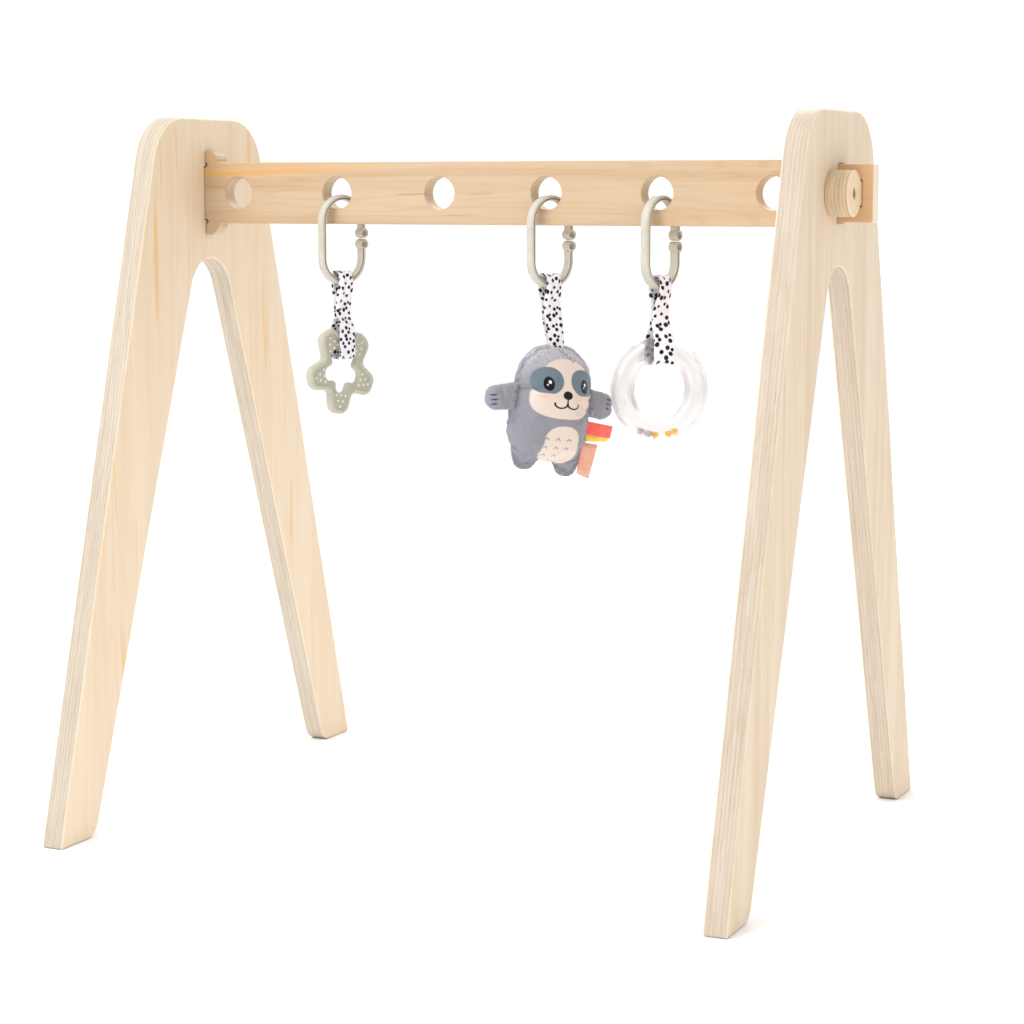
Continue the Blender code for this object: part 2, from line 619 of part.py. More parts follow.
def stuffed_sloth():
    rock = hanger(SLOTH, "sloth")
    _, link_turn, toy_turn = SLOTH
    end = SLOTH_TOP + SEWN_GAP + STRAP_THICK / 2.0
    path = strap_top() + [(STRAP_MIDDLE, 404.0), (STRAP_MIDDLE, 394.0), (STRAP_MIDDLE, 386.0),
                          (STRAP_MIDDLE, end + 1.5), (STRAP_MIDDLE * 0.5, end)]
    strap("sloth_strap", rock, path, toy_turn - link_turn, lean=SLOTH_LEAN)
    turn = math.radians(toy_turn - link_turn)
    place = (SLOTH_LEAN * math.sin(turn), SLOTH_LEAN * math.cos(turn), SLOTH_TOP - LINK_ARC_Z)
    sewn = empty("sloth_flop", place, link_turn - toy_turn, rock, SLOTH_TILT)
    sloth_cover("sloth_front_cover", 1, FACE_COLOUR, sewn)
    sloth_cover("sloth_back_cover", -1, PLUSH_COLOUR, sewn)
    stuffed("sloth_stuffing", rounded(SLOTH_CORNERS), (0.0, SLOTH_MIDDLE),
            SLOTH_HALF_DEPTH - COVER_THICK - STUFFING_GAP, CLOTH_COLOUR, sewn, STUFFING_SQUEEZE, SLOTH_OVAL)
    sloth_arm("sloth_arm_left", -1, sewn)
    sloth_arm("sloth_arm_right", 1, sewn)
    tab("ribbon_red", RED_TAB, 1.6, 0.9, RED, sewn)
    tab("ribbon_yellow", YELLOW_TAB, 1.4, -1.0, YELLOW, sewn)
    tab("side_label", LABEL_TAB, 0.9, 0.4, LABEL_COLOUR, sewn)


def main():
    clear_scene()
    side_panel("side_panel_left", -1)
    side_panel("side_panel_right", 1)
    beam()
    tusk_key("key_left", -1)
    tusk_key("key_right", 1)
    star_teether()
    stuffed_sloth()
    ring_rattle()


main()
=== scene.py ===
"""Looks for the activity play gym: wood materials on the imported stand, and detailed
links, cloth straps, star teether, ring rattle and stuffed sloth in place of the plain
solids. Each made piece has its own frame: X to its front, Y across, Z up, in
millimetres, with its origin at the joint that it moves about.
"""
import json
import math

import bmesh
import bpy
import numpy as np
from mathutils import Matrix, Vector, geometry, noise


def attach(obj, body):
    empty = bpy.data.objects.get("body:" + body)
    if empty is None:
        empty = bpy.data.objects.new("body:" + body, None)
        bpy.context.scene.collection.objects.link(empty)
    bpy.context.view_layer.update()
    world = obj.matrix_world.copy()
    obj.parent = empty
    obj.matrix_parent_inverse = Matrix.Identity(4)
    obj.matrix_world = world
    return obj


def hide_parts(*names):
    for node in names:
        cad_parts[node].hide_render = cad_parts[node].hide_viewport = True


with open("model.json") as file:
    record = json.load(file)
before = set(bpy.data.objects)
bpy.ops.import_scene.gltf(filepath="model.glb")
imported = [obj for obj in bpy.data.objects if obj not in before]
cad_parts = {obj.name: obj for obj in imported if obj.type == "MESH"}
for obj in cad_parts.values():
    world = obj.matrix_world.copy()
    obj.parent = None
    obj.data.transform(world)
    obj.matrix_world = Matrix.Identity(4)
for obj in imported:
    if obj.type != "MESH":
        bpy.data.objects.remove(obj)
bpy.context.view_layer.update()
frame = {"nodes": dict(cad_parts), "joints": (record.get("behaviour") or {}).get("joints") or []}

MM = 0.001
JOINTS = {joint["name"]: joint for joint in frame["joints"]}

# ---- wood ----
PANEL_MIDDLE = 268.0  # distance from the middle of the gym to the middle of a panel
PANEL_HALF = 9.0
KEY_MIDDLE = 286.0
KEY_HALF = 8.7
BEAM_HALF = 7.5
BEAM_END = 259.0  # where the beam's left end meets the panel
TENON_END = 302.0
VENEER = 18.0 / 13.0  # thickness of one layer
STREAK = (511.0, 2.1)  # height and half width of the resin streak at the beam's left end
STREAK_RISE = 0.035  # its slope along the beam
PANEL_STREAKS = (  # resin lines on the left panel: across, top, bottom, half width, strength
    (-82.0, 500.0, 375.0, 2.6, 0.85), (34.0, 575.0, 525.0, 0.7, 0.7), (-38.0, 520.0, 465.0, 5.0, 0.3),
    (62.0, 430.0, 300.0, 0.8, 0.5), (-150.0, 300.0, 150.0, 1.2, 0.35))
# ---- links ----
LINK_RADIUS = 19.3  # middle of the limb, in the round ends
LINK_STRAIGHT = 29.0
LINK_GROOVES = (7, 8, 9, 10, 20, 21, 22, 23)  # sides of the limb's section that are sunk
BARREL_DROP = (11.0, 19.7)
BARREL_RADIUS = 4.1
BARREL_HOLE = 2.6
BARREL_HALF = 3.9
BARREL_WALL = 3.3  # how far from a barrel's middle the limb's end is
# ---- straps ----
STRAP_THICK = 1.2
STRAP_COLUMNS = 8  # on each side of the middle
STRAP_EACH = 5  # rows between two of the path's points
TWIST_TOP = -28.0  # where a strap starts to twist and lean
HUG_RADIUS = 16.0  # bend of the cloth over the link
HUG_TOP = 22.0
HUG_FADE = 10.0
LINK_WRAP = ((1.7, -11.6), (4.2, -13.0), (5.0, -17.0), (5.0, -23.1), (3.7, -27.6), (1.9, -32.1))
STRAPS = (  # toy, path below the link, (drop, width) stops, twist in degrees, space between spots,
    # height of the sewn line, how far the loop leans to one side, height of the ring's middle
    ("teether", ((1.2, -40.5), (1.5, -47.5), (4.3, -53.5), (5.6, -58.5), (5.6, -76.5), (4.8, -79.5),
                 (2.3, -80.4)),
     ((15.0, 13.4), (30.0, 14.5), (40.0, 15.4), (49.0, 14.6), (58.0, 16.6), (80.0, 17.4)),
     -8.0, 4.7, -49.5, 0.0, None),
    ("sloth", ((1.6, -40.5), (2.0, -48.5), (1.6, -58.5), (1.0, -65.0), (0.6, -70.0)),
     ((15.0, 14.0), (30.0, 15.4), (44.0, 16.2), (60.0, 14.4), (70.0, 14.0)),
     7.0, 4.8, None, 6.0, None),
    ("rattle", ((1.2, -38.5), (1.8, -46.5), (5.8, -54.0), (8.6, -60.5), (8.6, -67.3), (8.6, -72.3),
                (6.9, -75.2), (2.6, -75.6)),
     ((15.0, 14.6), (30.0, 15.8), (45.0, 15.0), (60.0, 17.0), (76.0, 17.8)),
     28.0, 5.6, None, 0.0, -96.5))
# ---- star ----
STAR_LOBES = 5
STAR_DROP = 16.25  # from the strap's limb to the star's centre
LOBE_CENTRE = 27.1
LOBE_RADIUS = 8.5
STAR_VALLEY = 21.5
HOLE_TIP = 13.5
HOLE_TIP_RADIUS = 5.0
HOLE_VALLEY = 11.0
STAR_TILT = -8.0  # degrees
STAR_FIELD = 3.0  # height of the sunk field
OUTER_RIM = (  # the rim's section, as (distance in from the edge, height)
    (4.4, 3.0), (3.9, 2.95), (3.6, 3.35), (3.2, 3.75), (2.6, 3.9), (1.9, 3.75), (1.2, 3.35),
    (0.6, 2.7), (0.2, 1.9), (0.0, 1.0))
HOLE_RIM = ((1.7, 3.0), (1.2, 2.9), (0.6, 2.5), (0.2, 1.9), (0.0, 1.2))
STAR_BUMPS = ((20.6, -4.9), (20.6, 0.0), (20.6, 4.9), (25.2, -2.6), (25.2, 2.6), (29.6, 0.0))
BUMP_RADIUS = 1.1
BUMP_HEIGHT = 0.85
# ---- ring ----
RING_OUTER = 39.5
RING_INNER = 22.5
RING_HALF = 7.5
RING_WALL = 1.4
RING_ROUNDING = 5.5
RING_SEAM = 0.12  # from the middle to where a half begins
BEAD_RADIUS = 2.6
BEAD_ROW = 2.8
BEAD_PLACE = 34.4  # from the ring's middle
BEADS = (  # angle from the lowest point, row (1 front, -1 back), colour
    (-7.5, 1, "yellow"), (11.0, 1, "yellow"), (20.5, 1, "yellow"), (-17.0, 1, "grey"),
    (-25.0, -1, "grey"), (-14.5, -1, "grey"), (-3.5, -1, "grey"))
# ---- sloth, measured from the top of its head ----
SLOTH_TILT = -7.0  # how far it hangs to one side, in degrees
SLOTH_DEPTH = 21.0  # half of its thickness
PUCKER = 1.0  # depth of the creases at the seam
SEAM_DRAW = 0.6  # how far a seam is drawn in
DOME_REACH = 1.35  # from the seam to full thickness, in half thicknesses
BAG_SCALE = 0.01  # the simulated bag is ten times as large as the sloth
BAG_FRAMES = 30
BAG_CLOTH = {"quality": 6, "mass": 0.15, "tension_stiffness": 25.0, "compression_stiffness": 12.0,
             "shear_stiffness": 8.0, "bending_stiffness": 0.08, "air_damping": 3.0,
             "use_pressure": True, "uniform_pressure_force": 9.0, "shrink_min": 0.0,
             "shrink_max": 0.16}
SLOTH_CORNERS = (  # across, height, corner radius
    (32.5, 0.0, 30.0), (-32.5, 0.0, 30.0), (-35.8, -62.0, 60.0), (-29.5, -98.0, 10.0),
    (-11.0, -98.0, 8.0), (-7.0, -90.5, 4.0), (6.5, -90.5, 4.0), (11.5, -101.0, 8.0),
    (31.0, -101.0, 10.0), (35.8, -62.0, 60.0))
ARM_ROOT = 31.0
ARM_TOP = -29.5
ARM_LOW = -53.0
ARM_DEPTH = 8.5  # half depth of a stuffed arm
ARMS = (  # name, side, tip, tip's top and bottom, highest claw
    ("sloth_arm_left", -1, 60.0, -35.8, -56.0, (55.4, -42.2)),
    ("sloth_arm_right", 1, 58.0, -33.5, -56.5, (50.8, -38.0)))
FACE_MIDDLE = 2.9  # the print is sewn this far off the seam's middle
BELLY_MARKS = ((-71.2, (-9.7, 0.4, 10.4)), (-78.0, (-9.4, 0.6, 10.0)), (-84.2, (-7.6, 2.4)))
PRINT_RAGGED = 0.35  # how far a print's edges stray
TAB_THICK = 0.35
TABS = (  # piece, node, slot, light and dark shade, how far the fold opens, flat size in metres,
    # then the sewn top, folded top, folded bottom and sewn bottom, as (forward, across, height)
    ("sloth_ribbon_red", "ribbon_red", "red_ribbon",
     (255, 112, 98), (244, 88, 82), 0.5, (0.010, 0.057),
     ((0.8, 32.0, -56.2), (0.5, 60.4, -58.8), (0.5, 59.6, -68.6), (0.8, 32.0, -66.4))),
    ("sloth_ribbon_yellow", "ribbon_yellow", "yellow_ribbon",
     (255, 234, 116), (240, 196, 42), 0.4, (0.010, 0.0535),
     ((-1.2, 32.0, -62.6), (-1.2, 59.4, -61.6), (-1.2, 58.4, -71.2), (-1.2, 32.0, -72.6))),
    ("sloth_side_label", "side_label", "salmon_label",
     (236, 184, 160), (234, 166, 138), 0.35, (0.027, 0.0305),
     ((0.3, 32.5, -73.0), (0.3, 48.2, -74.2), (0.3, 43.2, -101.6), (0.3, 31.0, -98.0))))
# ---- studio, in metres ----
SKY = 1.10  # strength of the white surroundings
SKY_DIM = 0.62  # share of it that is left toward +X
LIGHTS = (  # name, place, target, size, power
    ("top_light", (-0.8, -0.6, 2.4), (0.0, 0.0, 0.2), 1.6, 16.0),
    ("key_light", (-0.9, -2.1, 1.9), (0.0, 0.0, 0.35), 1.2, 24.0),
    ("back_light", (-0.3, 2.2, 1.7), (0.0, 0.0, 0.3), 1.4, 22.0))
CAMERA_PLACE = (0.8057, -1.7267, 0.4985)
CAMERA_LENS = 85.66
CAMERA_DOWN = 7.53  # degrees below level
CAMERA_TURN = 24.65

# sRGB colours, 0 to 255. A pair is the light and the dark of one material.
PLY_AMBER = (230, 188, 124)
LEFT_FACES = ((234, 216, 191), (229, 206, 176), PLY_AMBER)
RIGHT_FACES = ((233, 215, 190), (223, 199, 168), (224, 188, 142))
LEFT_LAYERS = ((202, 192, 176), (187, 173, 153))
RIGHT_LAYERS = ((206, 192, 175), (190, 174, 154))
KEY_FACES = ((238, 216, 184), (230, 203, 166), PLY_AMBER)
KEY_LAYERS = ((226, 207, 177), (205, 179, 144))
BEAM_FACES = ((198, 173, 143), (188, 158, 123), (160, 118, 80))
BEAM_LAYERS = ((210, 190, 160), (198, 173, 138))
GLUE = (160, 126, 100)
PINE_END = (222, 180, 134)
END_GRAIN = (240, 226, 202)
PINE_STREAK = (212, 158, 88)
LINK = ((196, 192, 181), (188, 182, 169))
# the links' grooves: a darker plastic that is painted shade in them
LINK_GROOVE_SHADE = ((146, 137, 122), (136, 127, 112))
CLOTH_WHITE = (240, 238, 244)
CLOTH_SHADE = (206, 205, 218)
CLOTH_DOT = (22, 22, 32)
STITCH = (170, 165, 178)
SAGE = ((186, 183, 167), (183, 180, 163))
# painted shade in the star's sunk field
SAGE_FIELD_SHADE = (178, 175, 159)
# painted highlight on the star's bumps
SAGE_BUMP_HIGHLIGHT = ((228, 227, 216), (217, 215, 203))
CLEAR = ((238, 234, 232), (230, 225, 223))
BEAD_SHADES = {"yellow": ((255, 208, 52), (240, 168, 20)), "grey": ((206, 201, 206), (158, 152, 160))}
# plush pairs: the dark is also the painted shade lower down on the sloth
PLUSH = ((193, 192, 200), (139, 139, 148))
PLUSH_BACK = ((166, 164, 174), (148, 147, 158))
CREAM = (227, 211, 200)
PATCH = (110, 126, 138)
INK = (32, 28, 30)
GLINT = (250, 250, 250)
LOW_GLINT = (225, 228, 232)
PINK = (250, 186, 164)
MARK = (140, 136, 138)
CLAW = (62, 72, 104)
FLOOR = ((255, 255, 255), (253, 253, 254))


# ---- materials ----
def linear(colour):
    """sRGB 0-255 to the linear values a shader takes."""
    parts = [c / 255.0 for c in colour]
    return (*[p / 12.92 if p <= 0.04045 else ((p + 0.055) / 1.055) ** 2.4 for p in parts], 1.0)


class Shader:
    """A material, with short calls that add nodes to it. Places are in millimetres."""

    def __init__(self, name, **sockets):
        self.material = bpy.data.materials.new(name)
        self.material.use_nodes = True
        self.tree = self.material.node_tree
        self.surface = self.tree.nodes["Principled BSDF"]
        for key, value in sockets.items():
            self.surface.inputs[key.replace("_", " ")].default_value = value
        self.coords = self.tree.nodes.new("ShaderNodeTexCoord")
        self.place = self.scaled(self.coords.outputs["Object"], (1000.0, 1000.0, 1000.0))

    def node(self, kind, settings, **inputs):
        """A new node. An input is given by its name, or as i and its number."""
        made = self.tree.nodes.new(kind)
        for key, value in settings.items():
            setattr(made, key, value)
        for key, value in inputs.items():
            socket = made.inputs[int(key[1:]) if key[1:].isdigit() else key.replace("_", " ")]
            if isinstance(value, bpy.types.NodeSocket):
                self.tree.links.new(value, socket)
            else:
                socket.default_value = value
        return made

    def math(self, operation, a, b=0.0, c=0.0):
        return self.node("ShaderNodeMath", {"operation": operation}, i0=a, i1=b, i2=c).outputs[0]

    def times(self, a, b):
        return self.math("MULTIPLY", a, b)

    def off(self, value, middle=0.0):
        """How far a value is from a middle."""
        return self.math("ABSOLUTE", self.math("SUBTRACT", value, middle))

    def scaled(self, vector, factors):
        made = self.node("ShaderNodeVectorMath", {"operation": "MULTIPLY"}, i0=vector, i1=factors)
        return made.outputs[0]

    def on_cloth(self):
        """Across and along a piece of flat cloth."""
        return self.scaled(self.coords.outputs["UV"], (1000.0, 1000.0, 1.0))

    def drawn(self, length, *axes):
        """The place, with textures drawn out by a length along some axes."""
        factors = [1.0 / length if axis in axes else 1.0 for axis in range(3)]
        return self.scaled(self.place, factors)

    def moved(self, vector, offset):
        return self.node("ShaderNodeVectorMath", {"operation": "ADD"}, i0=vector, i1=offset).outputs[0]

    def parts(self, vector):
        return self.node("ShaderNodeSeparateXYZ", {}, Vector=vector).outputs

    def fade(self, value, zero, one, most=1.0):
        """0 where the value is at zero, most where it is at one, smooth between."""
        made = self.node("ShaderNodeMapRange", {"interpolation_type": "SMOOTHSTEP"}, Value=value,
                         From_Min=zero, From_Max=one, To_Max=most)
        return made.outputs[0]

    def noise(self, size, detail=3.0, rough=0.55, bend=0.0, at=None):
        """Noise whose features are about size millimetres, at a vector or at each place."""
        made = self.node("ShaderNodeTexNoise", {}, Vector=self.place if at is None else at,
                         Scale=1.0 / size, Detail=detail, Roughness=rough, Distortion=bend)
        return made.outputs[0]

    def mix(self, share, low, high, blend="MIX"):
        """The low colour where the share is 0 and the high one where it is 1."""
        low, high = [linear(c) if isinstance(c, tuple) else c for c in (low, high)]
        settings = {"data_type": "RGBA", "blend_type": blend, "clamp_factor": True}
        return self.node("ShaderNodeMix", settings, i0=share, i6=low, i7=high).outputs[2]

    def bump(self, height, distance, strength, under=None):
        """Relief whose depth is a distance in millimetres, over another relief if there is one."""
        inputs = {"Height": height, "Distance": distance * MM, "Strength": strength}
        if under is not None:
            inputs["Normal"] = under
        return self.node("ShaderNodeBump", {}, **inputs).outputs[0]

    def wear(self, value, low, high):
        """Roughness from low to high as the value goes from 0 to 1."""
        made = self.node("ShaderNodeMapRange", {}, Value=value, To_Min=low, To_Max=high)
        self.tree.links.new(made.outputs[0], self.surface.inputs["Roughness"])

    def done(self, colour, normal=None):
        self.tree.links.new(colour, self.surface.inputs["Base Color"])
        if normal is not None:
            self.tree.links.new(normal, self.surface.inputs["Normal"])
        return self.material


def veneer(s, grain, fibre, colours, contrast):
    """A board's face: broad figure, growth rings, fine fibres and a few pores."""
    light, tan, line = colours
    figure = s.noise(16.0, 4.0, 0.55, 0.9, grain)
    rings = s.math("SINE", s.times(s.noise(30.0, 2.0, 0.5, 0.5, grain), 95.0))
    pores = s.noise(7.0, 2.0, 0.5, 0.3, s.moved(grain, (31.0, 57.0, 13.0)))
    face = s.mix(s.fade(figure, 0.36, 0.70, contrast), light, tan)
    face = s.mix(s.fade(rings, 0.45, 1.0, 0.12), face, line)
    face = s.mix(s.fade(fibre, 0.58, 0.78, 0.18), face, line)
    return s.mix(s.fade(pores, 0.66, 0.72, 0.6), face, line)


def layered_edge(s, plane, depth, specks, colours):
    """A board's edge: layers that lie along two axes, with torn fibres and broken glue lines."""
    layer = s.math("DIVIDE", s.math("ADD", depth, VENEER / 2.0), VENEER)
    odd = s.math("MODULO", s.math("FLOOR", layer), 2.0)
    runs = s.noise(0.8, 3.0, 0.65, at=s.drawn(26.0, *plane))
    sheets = s.noise(1.7, 2.0, 0.6, at=s.drawn(60.0, *plane))
    edge = s.mix(s.math("MULTIPLY_ADD", odd, 0.4, s.fade(sheets, 0.36, 0.62, 0.6)), *colours)
    edge = s.mix(s.fade(specks, 0.5, 0.75, 0.14), edge, GLUE)
    edge = s.mix(s.fade(runs, 0.50, 0.72, 0.38), edge, GLUE)
    seam = s.off(s.math("FRACT", s.math("ADD", layer, 0.5)), 0.5)
    gaps = s.noise(9.0, 3.0, 0.7, at=s.drawn(5.0, *plane))
    broken = s.math("MULTIPLY_ADD", s.fade(gaps, 0.48, 0.66), 0.7, 0.04)
    share = s.times(s.fade(seam, 0.11, 0.03), broken)
    return s.mix(share, edge, GLUE)


def plywood(name, across, along, middle, half, face_colours, edge_colours, contrast, marks=None):
    """Veneer faces with grain along one axis, and layers across the other on every edge.
    middle is how far the board's middle is from the gym's, along the across axis."""
    s = Shader(name, Specular_IOR_Level=0.35)
    axes = s.parts(s.place)
    depth = s.off(s.off(axes[across]), middle)
    grain = s.drawn(22.0, along)
    fibre = s.noise(0.9, 2.0, 0.6, at=s.drawn(60.0, along))
    specks = s.noise(0.55, 2.0, 0.7)
    face = veneer(s, grain, fibre, face_colours, contrast)
    plane = [axis for axis in range(3) if axis != across]
    edge = layered_edge(s, plane, depth, specks, edge_colours)
    if marks is not None:
        face, edge = marks(s, axes, grain, face, edge)
    on_face = s.fade(depth, half - 1.15, half - 1.0)
    s.wear(fibre, 0.42, 0.62)
    grooves = s.math("MULTIPLY_ADD", specks, 0.5, fibre)
    return s.done(s.mix(on_face, edge, face), s.bump(grooves, 0.015, 0.4))


def panel_streaks(s, axes, grain, face, edge):
    """Resin lines down the left panel's faces."""
    left = s.fade(axes[0], 0.0, -10.0)
    wander = s.math("MULTIPLY_ADD", s.noise(24.0, 1.0, at=grain), 8.0, axes[1])
    for place, high, low, width, strength in PANEL_STREAKS:
        across = s.fade(s.off(wander, 4.0 + place), width * 1.5, width * 0.4)
        length = s.times(s.fade(axes[2], high, high - 30.0), s.fade(axes[2], low, low + 50.0))
        face = s.mix(s.times(s.times(across, length), s.times(left, strength)), face, PLY_AMBER)
    return face, edge


def beam_marks(s, axes, grain, face, edge):
    """A resin streak that climbs from the beam's left end, darker tenons and pale end grain."""
    height, width = STREAK
    climb = s.math("MULTIPLY_ADD", axes[0], STREAK_RISE, height + BEAM_END * STREAK_RISE - 2.0)
    wander = s.math("MULTIPLY_ADD", s.noise(30.0, 1.0, at=grain), 4.0, climb)
    above = s.fade(s.math("SUBTRACT", axes[2], wander), 0.0, 5.0, 0.35)
    line = s.fade(s.off(axes[2], wander), width * 1.3, width * 0.5, 0.85)
    left = s.fade(axes[0], -60.0, -200.0)
    along = s.off(axes[0])
    face = s.mix(s.times(above, left), face, PINE_STREAK)
    face = s.mix(s.times(line, left), face, PINE_STREAK)
    face = s.mix(s.fade(along, PANEL_MIDDLE, PANEL_MIDDLE + 11.0, 0.85), face, PINE_END)
    return face, s.mix(s.fade(along, TENON_END, TENON_END + 0.6), edge, END_GRAIN)


def moulded(name, light, dark, roughness, soft=0.0):
    """Moulded plastic or rubber: faint flow marks, a fine matt grain and handling wear."""
    s = Shader(name, Specular_IOR_Level=0.45, Subsurface_Weight=soft, Subsurface_Scale=0.004)
    flow = s.noise(14.0, 3.0, 0.5, 1.2)
    grain = s.noise(0.35, 2.0, 0.6)
    smudge = s.noise(6.0, 3.0, 0.6)
    s.wear(smudge, roughness - 0.08, roughness + 0.12)
    return s.done(s.mix(s.fade(flow, 0.3, 0.75), light, dark), s.bump(grain, 0.03, 0.4))


def star_silicone():
    """Sage silicone, with painted shade that makes the sunk field a little darker than the rim."""
    s = Shader("sage_silicone", Specular_IOR_Level=0.4, Sheen_Weight=0.1, Subsurface_Weight=0.05,
               Subsurface_Scale=0.003)
    depth = s.off(s.parts(s.place)[0])
    flow = s.noise(9.0, 3.0, 0.55, 0.6)
    s.wear(flow, 0.5, 0.68)
    colour = s.mix(s.fade(flow, 0.3, 0.75), *SAGE)
    # painted shade: the sunk field is darker than the rim
    sunk = s.times(s.fade(depth, STAR_FIELD - 0.2, STAR_FIELD - 0.1),
                   s.fade(depth, STAR_FIELD + 0.3, STAR_FIELD + 0.05))
    colour = s.mix(sunk, colour, SAGE_FIELD_SHADE)
    return s.done(colour, s.bump(s.noise(0.4, 2.0, 0.6), 0.03, 0.4))


def clear_plastic():
    """Clear polished plastic with a faint haze."""
    s = Shader("clear_plastic", Transmission_Weight=1.0, IOR=1.45, Alpha=0.44)
    haze = s.noise(9.0, 3.0, 0.55)
    s.wear(haze, 0.0, 0.03)
    return s.done(s.mix(haze, *CLEAR))


def dotted_cloth(name, spacing, stitch):
    """White cotton printed with uneven black spots; stitch is the height of a sewn line, or None."""
    s = Shader(name, Roughness=0.9, Specular_IOR_Level=0.15, Sheen_Weight=0.25, Sheen_Roughness=0.5)
    cloth = s.on_cloth()
    ragged = s.node("ShaderNodeTexNoise", {}, Vector=cloth, Scale=0.8, Detail=2.0).outputs[1]
    pushed = s.node("ShaderNodeVectorMath", {"operation": "MULTIPLY_ADD"}, i0=ragged,
                    i1=(0.7, 0.7, 0.0), i2=cloth).outputs[0]
    turned = s.node("ShaderNodeMapping", {}, Vector=pushed, Rotation=(0.0, 0.0, 0.6)).outputs[0]
    cells = s.node("ShaderNodeTexVoronoi", {"voronoi_dimensions": "2D"}, Scale=1.0 / spacing,
                   Randomness=0.7, Vector=turned)
    size = s.math("MULTIPLY_ADD", s.parts(cells.outputs["Color"])[0], 0.11, 0.225)
    beyond = s.math("SUBTRACT", cells.outputs["Distance"], size)
    colour = s.mix(s.fade(beyond, 0.03, -0.02), CLOTH_WHITE, CLOTH_DOT)
    threads = s.parts(s.scaled(cloth, (math.tau / 0.42, math.tau / 0.36, 1.0)))
    weave = s.times(s.math("SINE", threads[0]), s.math("SINE", threads[1]))
    shade = s.noise(3.0)
    colour = s.mix(s.fade(shade, 0.45, 0.75, 0.25), colour, CLOTH_SHADE, "MULTIPLY")
    normal = s.bump(weave, 0.05, 0.5, s.bump(shade, 0.5, 0.4))
    if stitch is not None:
        axes = s.parts(s.place)
        line = s.fade(s.off(axes[2], stitch), 0.45, 0.25)
        gaps = s.fade(s.math("SINE", s.times(axes[1], 2.9)), -0.5, -0.1, 0.55)
        colour = s.mix(s.times(line, gaps), colour, STITCH)
        normal = s.bump(line, 0.3, -0.8, normal)
    return s.done(colour, normal)


def ribbon(name, light, dark):
    """Woven ribbon: ribs across it, and a satin sheen."""
    s = Shader(name, Specular_IOR_Level=0.3, Sheen_Weight=0.2, Anisotropic=0.4)
    ribs = s.math("SINE", s.times(s.parts(s.on_cloth())[1], math.tau / 0.45))
    cloud = s.noise(5.0)
    s.wear(cloud, 0.45, 0.65)
    return s.done(s.mix(s.fade(cloud, 0.35, 0.75), light, dark), s.bump(ribs, 0.05, 0.6))


class Print:
    """Shapes printed on the sloth, as masks in its own across and height coordinates."""

    def __init__(self, shader, ground):
        self.s = shader
        self.colour = ground
        stray = (0.0, PRINT_RAGGED, PRINT_RAGGED)
        wobble = shader.node("ShaderNodeTexNoise", {}, Vector=shader.place, Scale=1.6, Detail=2.0)
        pushed = shader.node("ShaderNodeVectorMath", {"operation": "MULTIPLY_ADD"},
                             i0=wobble.outputs[1], i1=stray, i2=shader.place)
        _, self.y, self.z = shader.parts(pushed.outputs[0])

    def from_point(self, centre, turn=0.0):
        """Across and height from a point, turned by degrees."""
        calc, times = self.s.math, self.s.times
        y, z = calc("SUBTRACT", self.y, centre[0]), calc("SUBTRACT", self.z, centre[1])
        if not turn:
            return y, z
        cos, sin = math.cos(math.radians(turn)), math.sin(math.radians(turn))
        return (calc("ADD", times(y, cos), times(z, sin)),
                calc("SUBTRACT", times(z, cos), times(y, sin)))

    def oval(self, centre, radii, turn=0.0, soft=0.3, power=2.0):
        """1 inside an oval; a power over 2 squares it off."""
        calc = self.s.math
        y, z = self.from_point(centre, turn)
        a = calc("POWER", self.s.off(calc("DIVIDE", y, radii[0])), power)
        b = calc("POWER", self.s.off(calc("DIVIDE", z, radii[1])), power)
        out = calc("POWER", calc("ADD", a, b), 1.0 / power)
        edge = soft / min(radii)
        return self.s.fade(out, 1.0 + edge, 1.0 - edge)

    def smile(self, centre, radii, width):
        """The lower half of an oval line, or the upper half if its height is negative."""
        calc, times = self.s.math, self.s.times
        y, z = self.from_point(centre)
        level = calc("DIVIDE", z, radii[1] / radii[0])
        away = calc("SQRT", calc("ADD", times(y, y), times(level, level)))
        line = self.s.fade(self.s.off(away, radii[0]), width, width * 0.5)
        return times(line, self.s.fade(z, 0.6, 0.2))

    def ink(self, share, ink, amount=1.0):
        """Prints a shape over the colour so far; an amount under 1 is a thin ink."""
        if amount < 1.0:
            share = self.s.times(share, amount)
        self.colour = self.s.mix(share, self.colour, ink)


def plush(name, light, dark):
    """Short pile, mottled where it has been brushed both ways, with painted shade that darkens it
    lower down, as a shader, colour and relief that a print can go over."""
    s = Shader(name, Roughness=0.95, Specular_IOR_Level=0.1, Sheen_Weight=0.35, Sheen_Roughness=0.4)
    brushed = s.noise(6.0, 4.0, 0.7, 0.8)
    clumps = s.noise(1.3, 3.0, 0.7)
    tufts = s.noise(0.4, 2.0, 0.7)
    colour = s.mix(s.fade(brushed, 0.35, 0.72, 0.4), light, dark)
    colour = s.mix(s.fade(clumps, 0.42, 0.7, 0.65), colour, dark)
    # painted shade: the pile darkens toward the dark colour lower down
    colour = s.mix(s.fade(s.parts(s.place)[2], -4.0, -34.0, 0.85), colour, dark)
    normal = s.bump(tufts, 0.35, 0.6, s.bump(clumps, 0.7, 0.5, s.bump(brushed, 1.0, 0.3)))
    return s, colour, normal


